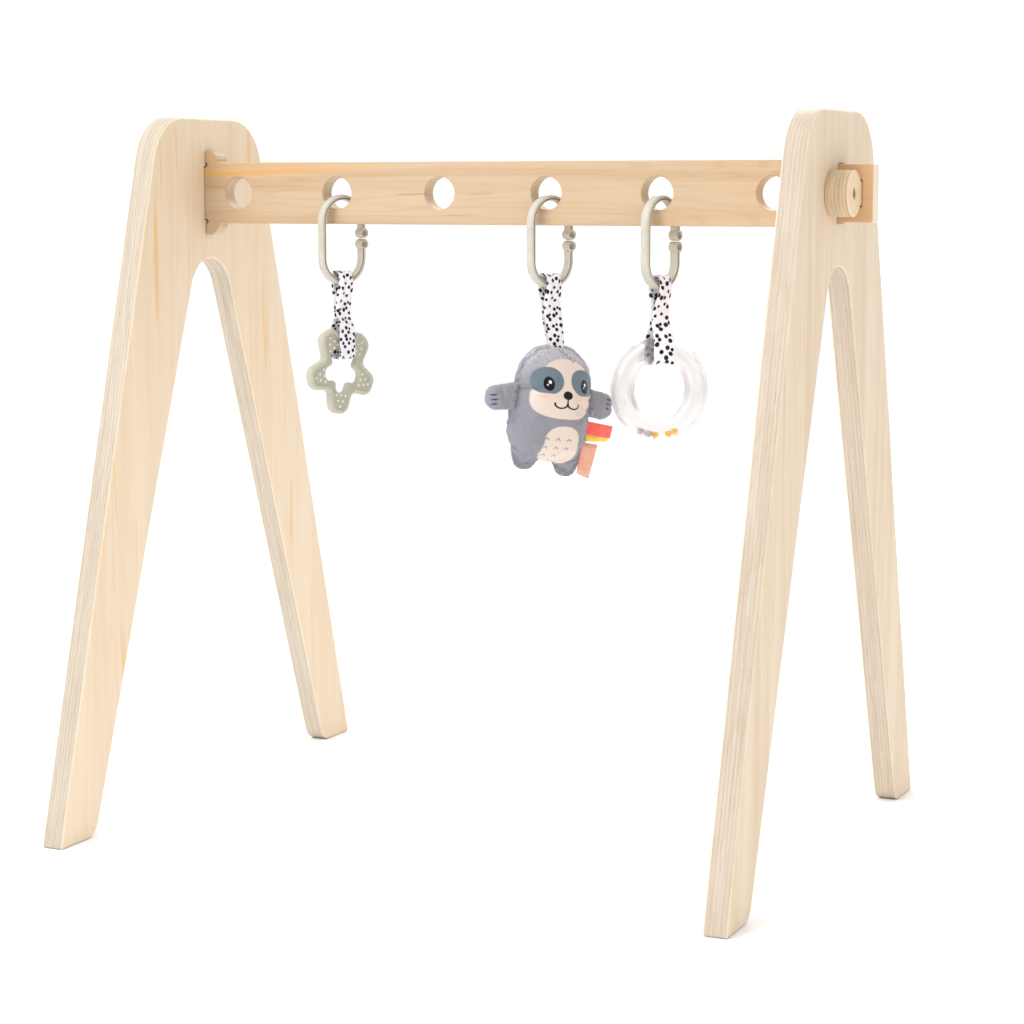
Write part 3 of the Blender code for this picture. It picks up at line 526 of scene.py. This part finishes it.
def print_face(p):
    """A cream mask with two eye patches, cheeks, a nose and a mouth."""
    mask = p.s.math("MAXIMUM", p.oval((FACE_MIDDLE - 1.1, -42.2), (29.1, 13.6), 0.0, 0.4, 2.6),
                    p.oval((FACE_MIDDLE + 1.0, -31.5), (24.5, 21.8), 0.0, 0.4, 2.2))
    p.ink(mask, CREAM)
    for side in (-1, 1):
        patch = p.oval((FACE_MIDDLE + side * 16.9, -27.4), (13.4, 10.4), side * -10.0, 0.4, 2.1)
        p.ink(p.s.times(patch, p.s.fade(p.z, -37.4, -36.6)), PATCH)
        eye = FACE_MIDDLE + side * 16.8 + 0.8 * (side > 0)
        p.ink(p.oval((eye, -29.6), (4.4, 5.4)), INK)
        p.ink(p.oval((eye + 0.6, -28.3), (1.2, 1.3), 0.0, 0.2), GLINT)
        p.ink(p.oval((eye - 1.2, -30.6), (0.6, 0.7), 0.0, 0.2), LOW_GLINT)
        p.ink(p.oval((FACE_MIDDLE + side * 20.0, -39.4), (4.8, 1.7), 0.0, 0.9), PINK, 0.6)
        p.ink(p.smile((FACE_MIDDLE + side * 5.6, -43.8), (5.6, 3.7), 1.15), INK)
    p.ink(p.oval((FACE_MIDDLE, -37.4), (4.2, 3.3)), INK)
    p.ink(p.oval((FACE_MIDDLE, -41.8), (0.7, 2.8), 0.0, 0.15), INK)


def print_belly(p):
    """A cream belly with rows of small tufts, each of two strokes and fainter lower down."""
    belly = p.s.math("MAXIMUM", p.oval((FACE_MIDDLE + 1.7, -72.5), (15.9, 11.2), 0.0, 0.4, 2.2),
                     p.oval((FACE_MIDDLE + 2.1, -80.5), (16.7, 10.6), 0.0, 0.4, 2.6))
    p.ink(belly, CREAM)
    for row, (height, places) in enumerate(BELLY_MARKS):
        for across in places:
            for side in (-1, 1):
                stroke = p.oval((across + side, height - 0.6), (1.8, 0.5), side * -38.0, 0.12)
                p.ink(stroke, MARK, 0.9 - 0.15 * row)


def front_plush():
    """The sloth's front: a grey ground with its face, belly and a curl of hair printed on."""
    s, ground, normal = plush("sloth_front_plush", *PLUSH)
    p = Print(s, ground)
    print_face(p)
    print_belly(p)
    for step in range(4):
        p.ink(p.smile((1.4 + 3.1 * step, -2.9 - 2.3 * step), (1.7, -1.7), 0.5), CLAW, 0.7)
    return s.done(p.colour, normal)


def arm_plush(side, claws):
    """A plain grey arm with three printed claws, the highest at (across, height)."""
    s, ground, normal = plush("sloth_arm_plush", *PLUSH)
    p = Print(s, ground)
    for step in range(3):
        centre = (side * (claws[0] - 0.7 * step), claws[1] - 3.5 * step)
        p.ink(p.oval(centre, (2.4, 0.66), side * -12.0, 0.15), CLAW)
    return s.done(p.colour, normal)


# ---- meshes ----
def local_frame(joint, tilt, drop):
    """The frame at a joint, with X out of the toy's front, tilted about X and lowered."""
    axis = Vector(JOINTS[joint]["axis"])
    up = Vector((0.0, 0.0, 1.0))
    if joint == "sloth_flop":  # the only axis that lies across its toy
        axis = axis.cross(up)
    turn = Matrix((axis, up.cross(axis), up)).transposed().to_4x4()
    tilted = Matrix.Rotation(math.radians(tilt), 4, "X")
    lowered = Matrix.Translation((0.0, 0.0, -drop * MM))
    return Matrix.Translation(JOINTS[joint]["pos_m"]) @ turn @ tilted @ lowered


def added(name, data):
    """A new object in the scene."""
    made = bpy.data.objects.new(name, data)
    bpy.context.collection.objects.link(made)
    return made


def piece(name, bm, joint, body, materials, replaces, tilt=0.0, drop=0.0):
    """A bmesh in millimetres as a named object at a joint, which rides on a body."""
    bmesh.ops.remove_doubles(bm, verts=bm.verts, dist=0.0005)
    bmesh.ops.recalc_face_normals(bm, faces=bm.faces)
    bmesh.ops.scale(bm, vec=(MM, MM, MM), verts=bm.verts)
    mesh = bpy.data.meshes.new(name)
    bm.to_mesh(mesh)
    bm.free()
    mesh.shade_smooth()
    mesh.set_sharp_from_angle(angle=math.radians(50))
    for material in materials:
        mesh.materials.append(material)
    made = added(name, mesh)
    made.matrix_world = local_frame(joint, tilt, drop)
    bpy.context.view_layer.update()
    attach(made, body)
    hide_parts(*replaces)
    return made


def skin(bm, rows, closed=True, uvs=None):
    """Quads between rows of points. closed joins each row's ends; uvs gives each row's
    texture places, one more than its points where it is closed."""
    verts = [[bm.verts.new(point) for point in row] for row in rows]
    layer = bm.loops.layers.uv.verify() if uvs else None
    count = len(rows[0])
    for i in range(len(rows) - 1):
        for k in range(count if closed else count - 1):
            n = (k + 1) % count
            face = bm.faces.new((verts[i][k], verts[i][n], verts[i + 1][n], verts[i + 1][k]))
            if layer:
                corners = (uvs[i][k], uvs[i][k + 1], uvs[i + 1][k + 1], uvs[i + 1][k])
                for loop, uv in zip(face.loops, corners):
                    loop[layer].uv = uv
    return verts


def arc(centre, radius, start, end, steps):
    """Points along an arc, between two angles in radians."""
    turns = [start + (end - start) * i / steps for i in range(steps + 1)]
    return [Vector((centre[0] + radius * math.cos(t), centre[1] + radius * math.sin(t)))
            for t in turns]


def rounded(corners, step=0.12):
    """A closed outline from (a, b, radius) corners, each rounded by an arc."""
    points = []
    for i, (a, b, radius) in enumerate(corners):
        here = Vector((a, b))
        back = (Vector(corners[i - 1][:2]) - here).normalized()
        ahead = (Vector(corners[(i + 1) % len(corners)][:2]) - here).normalized()
        half = back.angle(ahead) / 2.0
        middle = here + (back + ahead).normalized() * (radius / math.sin(half))
        first = here + back * (radius / math.tan(half)) - middle
        last = here + ahead * (radius / math.tan(half)) - middle
        start = math.atan2(first.y, first.x)
        sweep = (math.atan2(last.y, last.x) - start + math.pi) % math.tau - math.pi
        points += arc(middle, radius, start, start + sweep, max(3, round(abs(sweep) / step)))
    return points


def inset(loop, distance):
    """The loop moved to its left by a distance."""
    moved = []
    for i, here in enumerate(loop):
        before = (here - loop[i - 1]).normalized()
        after = (loop[(i + 1) % len(loop)] - here).normalized()
        normal = (Vector((-before.y, before.x)) + Vector((-after.y, after.x))).normalized()
        lean = normal.dot(Vector((-before.y, before.x)))
        moved.append(here + normal * (distance / max(0.5, lean)))
    return moved


def catmull(points, each):
    """A closed curve through the points."""
    count, curve = len(points), []
    for i in range(count):
        p0, p1, p2, p3 = (Vector(points[(i + k) % count]) for k in (-1, 0, 1, 2))
        for t in (step / each for step in range(each)):
            curve.append(0.5 * (2 * p1 + (p2 - p0) * t + (2 * p0 - 5 * p1 + 4 * p2 - p3) * t * t
                                + (3 * p1 - p0 - 3 * p2 + p3) * t ** 3))
    return curve


def ease(value):
    """0 to 1, smooth at both ends."""
    value = min(1.0, max(0.0, value))
    return value * value * (3.0 - 2.0 * value)


def blended(stops, at):
    """A value read from (place, value) stops, eased between them."""
    for (a, low), (b, high) in zip(stops, stops[1:]):
        if at <= b:
            return low + (high - low) * ease((at - a) / (b - a))
    return stops[-1][1]


def lathe(bm, profile, steps, centre=(0.0, 0.0)):
    """A closed (along X, radius) profile turned about an axis along X."""
    rows = []
    for i in range(steps + 1):
        turn = math.tau * i / steps
        rows.append([(x, centre[0] + r * math.sin(turn), centre[1] - r * math.cos(turn))
                     for x, r in profile])
    skin(bm, rows)


# ---- links ----
def limb_section():
    """(outward, sideways) round the limb: a crowned outside, and a groove in each side."""
    half = [(2.25, 0.0), (2.18, 1.3), (1.95, 2.4), (1.45, 3.25), (0.75, 3.75), (0.0, 3.9),
            (-0.35, 3.85), (-0.55, 3.65), (-0.62, 2.95), (-0.9, 2.8), (-1.18, 2.95), (-1.25, 3.45),
            (-1.5, 3.62), (-1.95, 3.5), (-2.15, 3.0), (-2.2, 1.5), (-2.2, 0.0)]
    return half + [(out, -side) for out, side in half[-2:0:-1]]


def link_path():
    """Points and outward directions along the limb, from one barrel round to the other."""
    right = Vector((1.0, 0.0))
    path = [(Vector((LINK_RADIUS, z)), right) for z in (BARREL_DROP[0] - BARREL_WALL, 3.4)]
    for point in arc((0.0, 0.0), 1.0, 0.0, -math.pi, 36):
        path.append((point * LINK_RADIUS, point))
    for step in range(1, 6):
        path.append((Vector((-LINK_RADIUS, LINK_STRAIGHT * step / 6.0)), -right))
    for point in arc((0.0, 0.0), 1.0, math.pi, 0.0, 36):
        path.append((point * LINK_RADIUS + Vector((0.0, LINK_STRAIGHT)), point))
    return path + [(Vector((LINK_RADIUS, z)), right) for z in (26.0, BARREL_DROP[1] + BARREL_WALL)]


def snap_link(toy, materials):
    """A bent limb whose two ends are small barrels; its grooves have the second material, a darker
    plastic that is painted shade.
    """
    bm = bmesh.new()
    rows = []
    for place, out in link_path():
        rows.append([(side, place.x + out.x * away, place.y + out.y * away)
                     for away, side in limb_section()])
    verts = skin(bm, rows)
    bm.faces.ensure_lookup_table()
    # the sunk sides take the darker material: painted shade in the grooves
    for number, face in enumerate(bm.faces):
        if number % len(rows[0]) in LINK_GROOVES:
            face.material_index = 1
    bm.faces.new(verts[0])
    bm.faces.new(verts[-1][::-1])
    outside, inside, end = BARREL_RADIUS, BARREL_HOLE, BARREL_HALF
    rim = [(end - 0.55, outside), (end - 0.2, outside - 0.1), (end, outside - 0.4),
           (end + 0.05, outside - 0.9), (end, inside + 0.35), (end - 0.25, inside + 0.05),
           (end - 0.7, inside)]
    profile = rim + [(-x, r) for x, r in reversed(rim)]
    for drop in BARREL_DROP:
        lathe(bm, profile, 40, (LINK_RADIUS, drop))
    node = f"{toy}_link"
    piece(f"{node}_detailed", bm, f"{toy}_strap_rock", node, materials, [node])


# ---- straps ----
def pleats(column, walked, point, seed):
    """How far the cloth stands off its path: gathered pleats near the link, soft folds below."""
    gather = 1.0 - ease((-point.y - 24.0) / 20.0)
    fold = math.sin(column * 7.5 + 0.05 * walked + (1.3 if point.x > 0 else 0.0))
    soft = noise.noise((column * 1.6, walked * 0.09, 3.7 + seed))
    fold = (0.12 + 0.34 * gather) * fold + 0.5 * soft
    pressed = abs(point.x) < 2.6 and point.y < -30.0  # where the two sides lie together
    return fold * 0.55 if pressed else fold


def hugged(z, across, ring):
    """A height drawn round the link's limb and, where there is a ring, round that."""
    hug = 1.0 - ease((-z - HUG_TOP) / HUG_FADE)
    reach = max(-z, HUG_RADIUS)
    z += hug * (reach - math.sqrt(reach * reach - across * across))
    if ring is not None:
        up = z - ring
        hug = 1.0 - ease((up - RING_OUTER - 2.0) / 6.0)
        z -= hug * (up - math.sqrt(max(1.0, up * up - across * across)))
    return z


def strap(toy, rest_of_path, widths, twist, spacing, stitch, lean, ring):
    """A cloth loop over the link. The path runs down one side and mirrors on the other."""
    half = [*LINK_WRAP, *rest_of_path]
    path = catmull(half + [(-x, z) for x, z in reversed(half)], STRAP_EACH)
    low = half[-1][1]
    columns = [c / STRAP_COLUMNS for c in range(-STRAP_COLUMNS, STRAP_COLUMNS + 1)]
    around = [(c, 1.0) for c in columns] + [(c, -1.0) for c in reversed(columns)]
    rows, uvs, walked = [], [], 0.0
    for i in range(len(path) + 1):
        point = path[i % len(path)]
        last = path[(i - 1) % len(path)]
        walked += (point - last).length if i else 0.0
        along = (path[(i + 1) % len(path)] - last).normalized()
        normal = Vector((along.y, -along.x))
        width = blended(widths, -point.y) / 2.0
        row = []
        for column, face in around:
            across = column * width
            edge = math.sqrt(max(0.0, 1.0 - column ** 8)) * 0.85 + 0.15
            fold = pleats(column, walked, point, lean)
            x, z = point + normal * (fold * 0.9 + face * 0.5 * STRAP_THICK * edge)
            share = ease((TWIST_TOP + 4.0 - z) / (TWIST_TOP - low - 22.0))
            turn = math.radians(-twist) * share
            aside = across + lean * min(1.0, max(0.0, (TWIST_TOP - z) / (TWIST_TOP - low)))
            row.append((x * math.cos(turn) - aside * math.sin(turn),
                        x * math.sin(turn) + aside * math.cos(turn), hugged(z, across, ring)))
        rows.append(row)
        edges = [c * width + 20.0 for c, _ in around] + [20.0]
        uvs.append([(edge * MM, walked * MM) for edge in edges])
    bm = bmesh.new()
    skin(bm, rows, uvs=uvs)
    name = f"{toy}_strap"
    cloth = dotted_cloth(f"{name}_cloth", spacing, stitch)
    made = piece(f"{name}_cloth", bm, f"{name}_rock", name, [cloth], [name])


# ---- star teether ----
def star_loop(tip_centre, tip_radius, valley, valley_radius):
    """Five round lobes joined by round valleys, one lobe pointing down."""
    corners = []
    for lobe in range(STAR_LOBES):
        middle = -math.pi / 2.0 + math.tau * lobe / STAR_LOBES
        out = Vector((math.cos(middle), math.sin(middle)))
        flank = Vector((-out.y, out.x)) * tip_radius
        end = out * (tip_centre + tip_radius)
        turn = middle + math.pi / STAR_LOBES
        corners.append((*(end - flank), tip_radius * 0.98))
        corners.append((*(end + flank), tip_radius * 0.98))
        corners.append((valley * math.cos(turn), valley * math.sin(turn), valley_radius))
    return rounded(corners, 0.16)


def star_bumps(bm):
    """Round bumps on each lobe's sunk field, with the second material, a lighter silicone that is
    painted highlight.
    """
    body = len(bm.faces)
    for lobe in range(STAR_LOBES):
        turn = math.tau * lobe / STAR_LOBES
        for away, aside in STAR_BUMPS:
            y = away * math.sin(turn) + aside * math.cos(turn)
            z = aside * math.sin(turn) - away * math.cos(turn)
            for side in (-1, 1):
                dome(bm, (side * (STAR_FIELD - 0.1), y, z), side)
    bm.faces.ensure_lookup_table()
    for face in bm.faces[body:]:
        face.material_index = 1


def dome(bm, centre, side):
    """A small round bump that stands along X."""
    rows = []
    for step in range(5):
        turn = math.pi / 2.0 * step / 4.5
        reach = BUMP_RADIUS * math.cos(turn)
        rows.append([(centre[0] + side * BUMP_HEIGHT * math.sin(turn),
                      centre[1] + reach * math.cos(math.tau * k / 12),
                      centre[2] + reach * math.sin(math.tau * k / 12)) for k in range(12)])
    bm.faces.new(skin(bm, rows)[-1])


def star_teether():
    """A silicone star with a raised rim round its outline and its hole."""
    bm = bmesh.new()
    caps = {-1: [], 1: []}
    outline = star_loop(LOBE_CENTRE, LOBE_RADIUS, STAR_VALLEY, 4.5)
    hole = star_loop(HOLE_TIP, HOLE_TIP_RADIUS, HOLE_VALLEY, 3.5)[::-1]
    for loop, half in ((outline, OUTER_RIM), (hole, HOLE_RIM)):
        profile = [*half] + [(d, -x) for d, x in reversed(half)]
        rows = [[(x, p.x, p.y) for p in inset(loop, d)] for d, x in profile]
        verts = skin(bm, rows)
        for side, ring in ((1, verts[0]), (-1, verts[-1])):
            caps[side] += [bm.edges.get((ring[i - 1], ring[i])) for i in range(len(ring))]
    for edges in caps.values():
        bmesh.ops.triangle_fill(bm, edges=edges, use_beauty=True, use_dissolve=False)
    star_bumps(bm)
    # the bumps' lighter material is painted highlight
    materials = [star_silicone(), moulded("sage_bump_highlight", *SAGE_BUMP_HIGHLIGHT, 0.5)]
    piece("teether_star_detailed", bm, "teether_star_rock", "teether_star",
          materials, ["teether_star"], STAR_TILT, STAR_DROP)


# ---- ring rattle ----
def ring_half(name, side, material):
    """One moulded half of the clear ring, with a small lip where the halves meet."""
    low, high = RING_INNER, RING_OUTER
    depth = RING_HALF - RING_ROUNDING
    wall = RING_ROUNDING - RING_WALL
    outside = (arc((high - RING_ROUNDING, depth), RING_ROUNDING, 0.0, math.pi / 2.0, 10)
               + arc((low + RING_ROUNDING, depth), RING_ROUNDING, math.pi / 2.0, math.pi, 10))
    inside = (arc((low + RING_ROUNDING, depth), wall, math.pi, math.pi / 2.0, 10)
              + arc((high - RING_ROUNDING, depth), wall, math.pi / 2.0, 0.0, 10))
    seam, lip = RING_SEAM, RING_SEAM + 0.25
    section = [Vector((high - 0.1, seam)), Vector((high, lip))] + outside
    section += [Vector((low, lip)), Vector((low + 0.1, seam)), Vector((low + RING_WALL, seam))]
    section += inside + [Vector((high - RING_WALL, seam))]
    bm = bmesh.new()
    lathe(bm, [(side * p.y, p.x) for p in section], 160)
    node = f"rattle_ring_{name}"
    piece(f"{node}_shell", bm, "rattle_ring_turn", "rattle_ring", [material], [node])


def bead(number, angle, row, material):
    """A moulded bead with a fine seam round its middle and a flat at each end."""
    turn = math.radians(angle)
    centre = Vector((row * BEAD_ROW, BEAD_PLACE * math.sin(turn), -BEAD_PLACE * math.cos(turn)))
    bm = bmesh.new()
    profile = []
    for step in range(19):
        lie = math.pi * (0.06 + 0.88 * step / 18.0)
        swell = BEAD_RADIUS + (0.06 if step == 9 else 0.0)
        profile.append((-swell * math.cos(lie), max(0.02, swell * math.sin(lie))))
    lathe(bm, [(profile[0][0], 0.02)] + profile + [(profile[-1][0], 0.02)], 24)
    lean = Matrix.Rotation(number * 1.3, 4, "Z") @ Matrix.Rotation(number * 0.7, 4, "Y")
    bmesh.ops.transform(bm, matrix=Matrix.Translation(centre) @ lean, verts=bm.verts)
    node = f"rattle_bead_{number}"
    piece(f"{node}_moulded", bm, "rattle_beads_roll", "rattle_beads", [material], [node])


def rattle():
    """The ring's two halves, with the beads between them."""
    clear = clear_plastic()
    ring_half("front", 1, clear)
    ring_half("back", -1, clear)
    materials = {colour: moulded(f"{colour}_bead", *pair, 0.3) for colour, pair in BEAD_SHADES.items()}
    for number, (angle, row, colour) in enumerate(BEADS, start=1):
        bead(number, angle, row, materials[colour])


# ---- sloth ----
def resampled(loop, spacing):
    """Points evenly along a closed loop."""
    lengths = [(loop[i] - loop[i - 1]).length for i in range(len(loop))]
    count = round(sum(lengths) / spacing)
    step, points, along, i = sum(lengths) / count, [], 0.0, 0
    for k in range(count):
        target = k * step
        while along + lengths[i] < target:
            along += lengths[i]
            i += 1
        points.append(loop[i - 1].lerp(loop[i], (target - along) / max(lengths[i], 1e-9)))
    return points


def inside(point, loop):
    """Whether a point is inside a closed loop."""
    hit = False
    for i, b in enumerate(loop):
        a = loop[i - 1]
        if (a.y > point.y) != (b.y > point.y):
            if point.x < (b.x - a.x) * (point.y - a.y) / (b.y - a.y) + a.x:
                hit = not hit
    return hit


def flat_bag(outline, spacing):
    """Two flat panels sewn round the outline: (points, faces, seam's point numbers)."""
    rim = resampled(outline, spacing)
    guard = resampled(inset(rim, spacing * 0.75), spacing)
    low = [min(p[k] for p in rim) for k in (0, 1)]
    high = [max(p[k] for p in rim) for k in (0, 1)]
    filling, row, z = [], 0, low[1]
    while z < high[1]:
        y = low[0] + (row % 2) * spacing / 2.0
        while y < high[0]:
            if inside(Vector((y, z)), guard):
                filling.append(Vector((y, z)))
            y += spacing
        row += 1
        z += spacing * 0.866
    border = [list(range(len(rim)))]
    flat, _, faces, *_ = geometry.delaunay_2d_cdt(rim + filling, [], border, 1, 1e-6)
    count, seam = len(flat), len(rim)
    points = [Vector((0.6 if i >= seam else 0.0, p.x, p.y)) for i, p in enumerate(flat)]
    points += [Vector((-0.6, p.x, p.y)) for p in flat[seam:]]
    back = [[i if i < seam else i + count - seam for i in reversed(face)] for face in faces]
    return points, [list(face) for face in faces] + back, range(seam)


def domed(points, seam, depth):
    """The bag's panels raised by how far each point is from the seam."""
    edge = points[list(seam), 1:]
    away = np.min(np.linalg.norm(points[:, None, 1:] - edge[None], axis=2), axis=1)
    rise = np.sqrt(1.0 - (1.0 - np.clip(away / (DOME_REACH * depth), 0.0, 1.0)) ** 2)
    done = points.copy()
    done[:, 0] = np.sign(points[:, 0]) * depth * rise
    return done


def blown(points, faces, seam):
    """The bag blown up by a cloth simulation, whose seam draws in and puckers."""
    mesh = bpy.data.meshes.new("bag")
    mesh.from_pydata((points * BAG_SCALE).tolist(), [], faces)
    bag = added("bag", mesh)
    group = bag.vertex_groups.new(name="seam")
    group.add(list(seam), 1.0, "REPLACE")
    cloth = bag.modifiers.new("cloth", "CLOTH")
    settings = cloth.settings
    for key, value in BAG_CLOTH.items():
        setattr(settings, key, value)
    settings.vertex_group_shrink = "seam"
    settings.effector_weights.gravity = 0.0
    cloth.point_cache.frame_start = 1
    cloth.point_cache.frame_end = BAG_FRAMES
    for step in range(1, BAG_FRAMES + 1):
        bpy.context.scene.frame_set(step)
    done = bag.evaluated_get(bpy.context.evaluated_depsgraph_get()).to_mesh()
    result = np.array([v.co for v in done.vertices]) / BAG_SCALE
    bpy.data.objects.remove(bag, do_unlink=True)
    bpy.context.scene.frame_set(1)
    return result


def trued(shape, points, seam, depth):
    """A blown bag brought to its depth, with its seam drawn back near to its flat outline."""
    rim = list(seam)
    shape = shape - shape[rim].mean(axis=0) + points[rim].mean(axis=0)
    shape[:, 0] *= depth / np.abs(shape[:, 0]).max()
    pull = points[rim] - shape[rim]
    pull[:, 0] *= 0.6
    apart = np.linalg.norm(points[:, None, 1:] - points[None, rim, 1:], axis=2)
    near = 1.0 / (apart ** 2 + 4.0) ** 1.5
    return shape + (near @ pull) / near.sum(axis=1, keepdims=True)


def pucker(verts, points, seam):
    """Short creases that run in from the seam."""
    away = np.linalg.norm(points[:, None, 1:] - points[None, list(seam), 1:], axis=2)
    nearest, away = away.argmin(axis=1), away.min(axis=1)
    for vert, number, distance in zip(verts, nearest.tolist(), away.tolist()):
        wave = math.sin(number * 1.25) + 0.6 * math.sin(number * 0.53 + 1.0)
        low = 1.0 + ease((-30.0 - vert.co.z) / 30.0)
        deep = PUCKER * low * wave * (distance / 4.0) * math.exp(1.0 - distance / 4.0)
        vert.co.x -= math.copysign(deep, vert.co.x)


def stuffed(name, outline, spacing, depth, simulated, materials, replaces):
    """A part of the sloth sewn from two panels and stuffed, with its seam drawn in all round."""
    points, faces, seam = flat_bag(outline, spacing)
    points = np.array(points)
    if simulated:
        shape = trued(blown(points, faces, seam), points, seam, depth)
    else:
        shape = domed(points, seam, depth)
    bm = bmesh.new()
    verts = [bm.verts.new(p) for p in shape.tolist()]
    half = len(faces) // 2
    for number, face in enumerate(faces):
        made_face = bm.faces.new([verts[i] for i in face])
        made_face.material_index = 0 if number < half else len(materials) - 1
    bm.normal_update()
    for i in seam:
        verts[i].co -= verts[i].normal * SEAM_DRAW
    pucker(verts, points, seam)
    made = piece(name, bm, "sloth_flop", "sloth", materials, replaces, SLOTH_TILT)
    made.data.set_sharp_from_angle(angle=math.pi)
    smooth = made.modifiers.new("smooth", "SUBSURF")
    smooth.levels = smooth.render_levels = 1


def stuffed_sloth():
    """The body, whose two faces have their own plush, and the arms."""
    front = front_plush()
    shader, colour, normal = plush("sloth_back_plush", *PLUSH_BACK)
    back = shader.done(colour, normal)
    stuffed("sloth_body", rounded(SLOTH_CORNERS), 2.0, SLOTH_DEPTH, True,
            [front, back], ["sloth_front_cover", "sloth_back_cover", "sloth_stuffing"])
    for name, side, tip, high, low, claws in ARMS:
        corners = [(side * ARM_ROOT, ARM_TOP, 2.0), (side * tip, high, 9.0), (side * tip, low, 10.0),
                   (side * ARM_ROOT, ARM_LOW, 2.0)]
        outline = rounded(corners if side < 0 else corners[::-1])
        stuffed(f"{name}_stuffed", outline, 1.5, ARM_DEPTH, False,
                [arm_plush(side, claws)], [name])


def folded_tab(name, node, slot, light, dark, opening, flat, corners):
    """A ribbon folded in half, its two ends sewn into the seam."""
    top, far_top, far_low, bottom = [Vector(c) for c in corners]
    rows, uvs = [], []
    steps = 14
    for k in range(2 * steps + 1):
        share = k / steps if k <= steps else 2.0 - k / steps
        side = 1.0 if k <= steps else -1.0
        row, uv = [], []
        for i in range(7):
            down = i / 6.0
            point = top.lerp(far_top, share).lerp(bottom.lerp(far_low, share), down)
            open_by = opening * math.sin(math.pi * min(1.0, share * 1.02)) + 0.28 * (share < 1.0)
            wave = 0.7 * math.sin(share * 2.6 + down * 1.1)
            row.append(point + Vector((side * open_by + wave, 0.0, 0.0)))
            uv.append((down * flat[0], k / (2 * steps) * flat[1]))
        rows.append(row)
        uvs.append(uv)
    bm = bmesh.new()
    skin(bm, rows, False, uvs)
    material = ribbon(slot, light, dark)
    made = piece(name, bm, "sloth_flop", "sloth", [material], [node], SLOTH_TILT)
    thick = made.modifiers.new("cloth", "SOLIDIFY")
    thick.thickness = TAB_THICK * MM
    thick.offset = 0.0


# ---- stage ----
def pale_floor():
    """A wide pale floor, faintly clouded."""
    s = Shader("studio_floor", Specular_IOR_Level=0.1)
    cloud = s.noise(900.0, 2.0)
    s.wear(cloud, 0.8, 0.95)
    material = s.done(s.mix(cloud, *FLOOR))
    bm = bmesh.new()
    bmesh.ops.create_grid(bm, x_segments=24, y_segments=24, size=12.0)
    mesh = bpy.data.meshes.new("studio_floor")
    bm.to_mesh(mesh)
    bm.free()
    mesh.materials.append(material)
    floor = added("studio_floor", mesh)
    floor.location = (0.0, 0.0, -0.0002)


def soft_light(name, place, target, size, power):
    """A square area light that faces a target."""
    light = bpy.data.lights.new(name, "AREA")
    light.size = size
    light.energy = power
    lamp = added(name, light)
    lamp.location = place
    toward = Vector(target) - Vector(place)
    lamp.rotation_euler = toward.to_track_quat("-Z", "Y").to_euler()


def studio():
    """White surroundings, a little dimmer toward +X, and three soft lights."""
    world = bpy.data.worlds.new("studio")
    bpy.context.scene.world = world
    world.use_nodes = True
    tree = world.node_tree
    sky = tree.nodes["Background"]
    sky.inputs["Color"].default_value = (1.0, 1.0, 1.0, 1.0)
    split = tree.nodes.new("ShaderNodeSeparateXYZ")
    dimmed = tree.nodes.new("ShaderNodeMapRange")
    ends = {"From Min": 0.1, "From Max": 0.9, "To Min": SKY, "To Max": SKY_DIM * SKY}
    for key, value in ends.items():
        dimmed.inputs[key].default_value = value
    coords = tree.nodes.new("ShaderNodeTexCoord")
    tree.links.new(coords.outputs["Generated"], split.inputs[0])
    tree.links.new(split.outputs[0], dimmed.inputs["Value"])
    tree.links.new(dimmed.outputs[0], sky.inputs["Strength"])
    for light in LIGHTS:
        soft_light(*light)
    bpy.context.scene.view_settings.view_transform = "Standard"


def camera():
    """The photograph's viewing angle."""
    data = bpy.data.cameras.new("camera")
    data.sensor_width = 36.0
    data.lens = CAMERA_LENS
    data.clip_end = 30.0
    view = added("camera", data)
    view.location = CAMERA_PLACE
    view.rotation_euler = (math.radians(90.0 - CAMERA_DOWN), 0.0, math.radians(CAMERA_TURN))
    bpy.context.scene.camera = view


def painted(material, *nodes):
    """Gives CAD nodes a material in place of the one they were packed with."""
    for name in nodes:
        node = frame["nodes"][name]
        for number in range(len(node.material_slots)):
            node.material_slots[number].link = "OBJECT"
            node.material_slots[number].material = material


def stand():
    """Wood on the panels, the keys and the beam."""
    sides = (("left", LEFT_FACES, LEFT_LAYERS), ("right", RIGHT_FACES, RIGHT_LAYERS))
    for side, faces, layers in sides:
        panel = plywood(f"{side}_plywood", 0, 2, PANEL_MIDDLE, PANEL_HALF, faces, layers, 0.85,
                        panel_streaks)
        painted(panel, f"side_panel_{side}")
    key = plywood("key_plywood", 0, 1, KEY_MIDDLE, KEY_HALF, KEY_FACES, KEY_LAYERS, 0.5)
    painted(key, "key_left", "key_right")
    pine = plywood("beam_pine", 1, 0, 0.0, BEAM_HALF, BEAM_FACES, BEAM_LAYERS, 0.85, beam_marks)
    painted(pine, "beam")


def hangers():
    """Three links, and the straps that hang from them."""
    plastic = moulded("link_plastic", *LINK, 0.36, soft=0.06)
    # painted shade: the grooves get a darker plastic than the rest of the link
    groove = moulded("link_groove_shade", *LINK_GROOVE_SHADE, 0.5)
    for toy in ("teether", "sloth", "rattle"):
        snap_link(toy, [plastic, groove])
    for settings in STRAPS:
        strap(*settings)


pale_floor()
studio()
camera()
stand()
hangers()
star_teether()
rattle()
stuffed_sloth()
for tab in TABS:
    folded_tab(*tab)
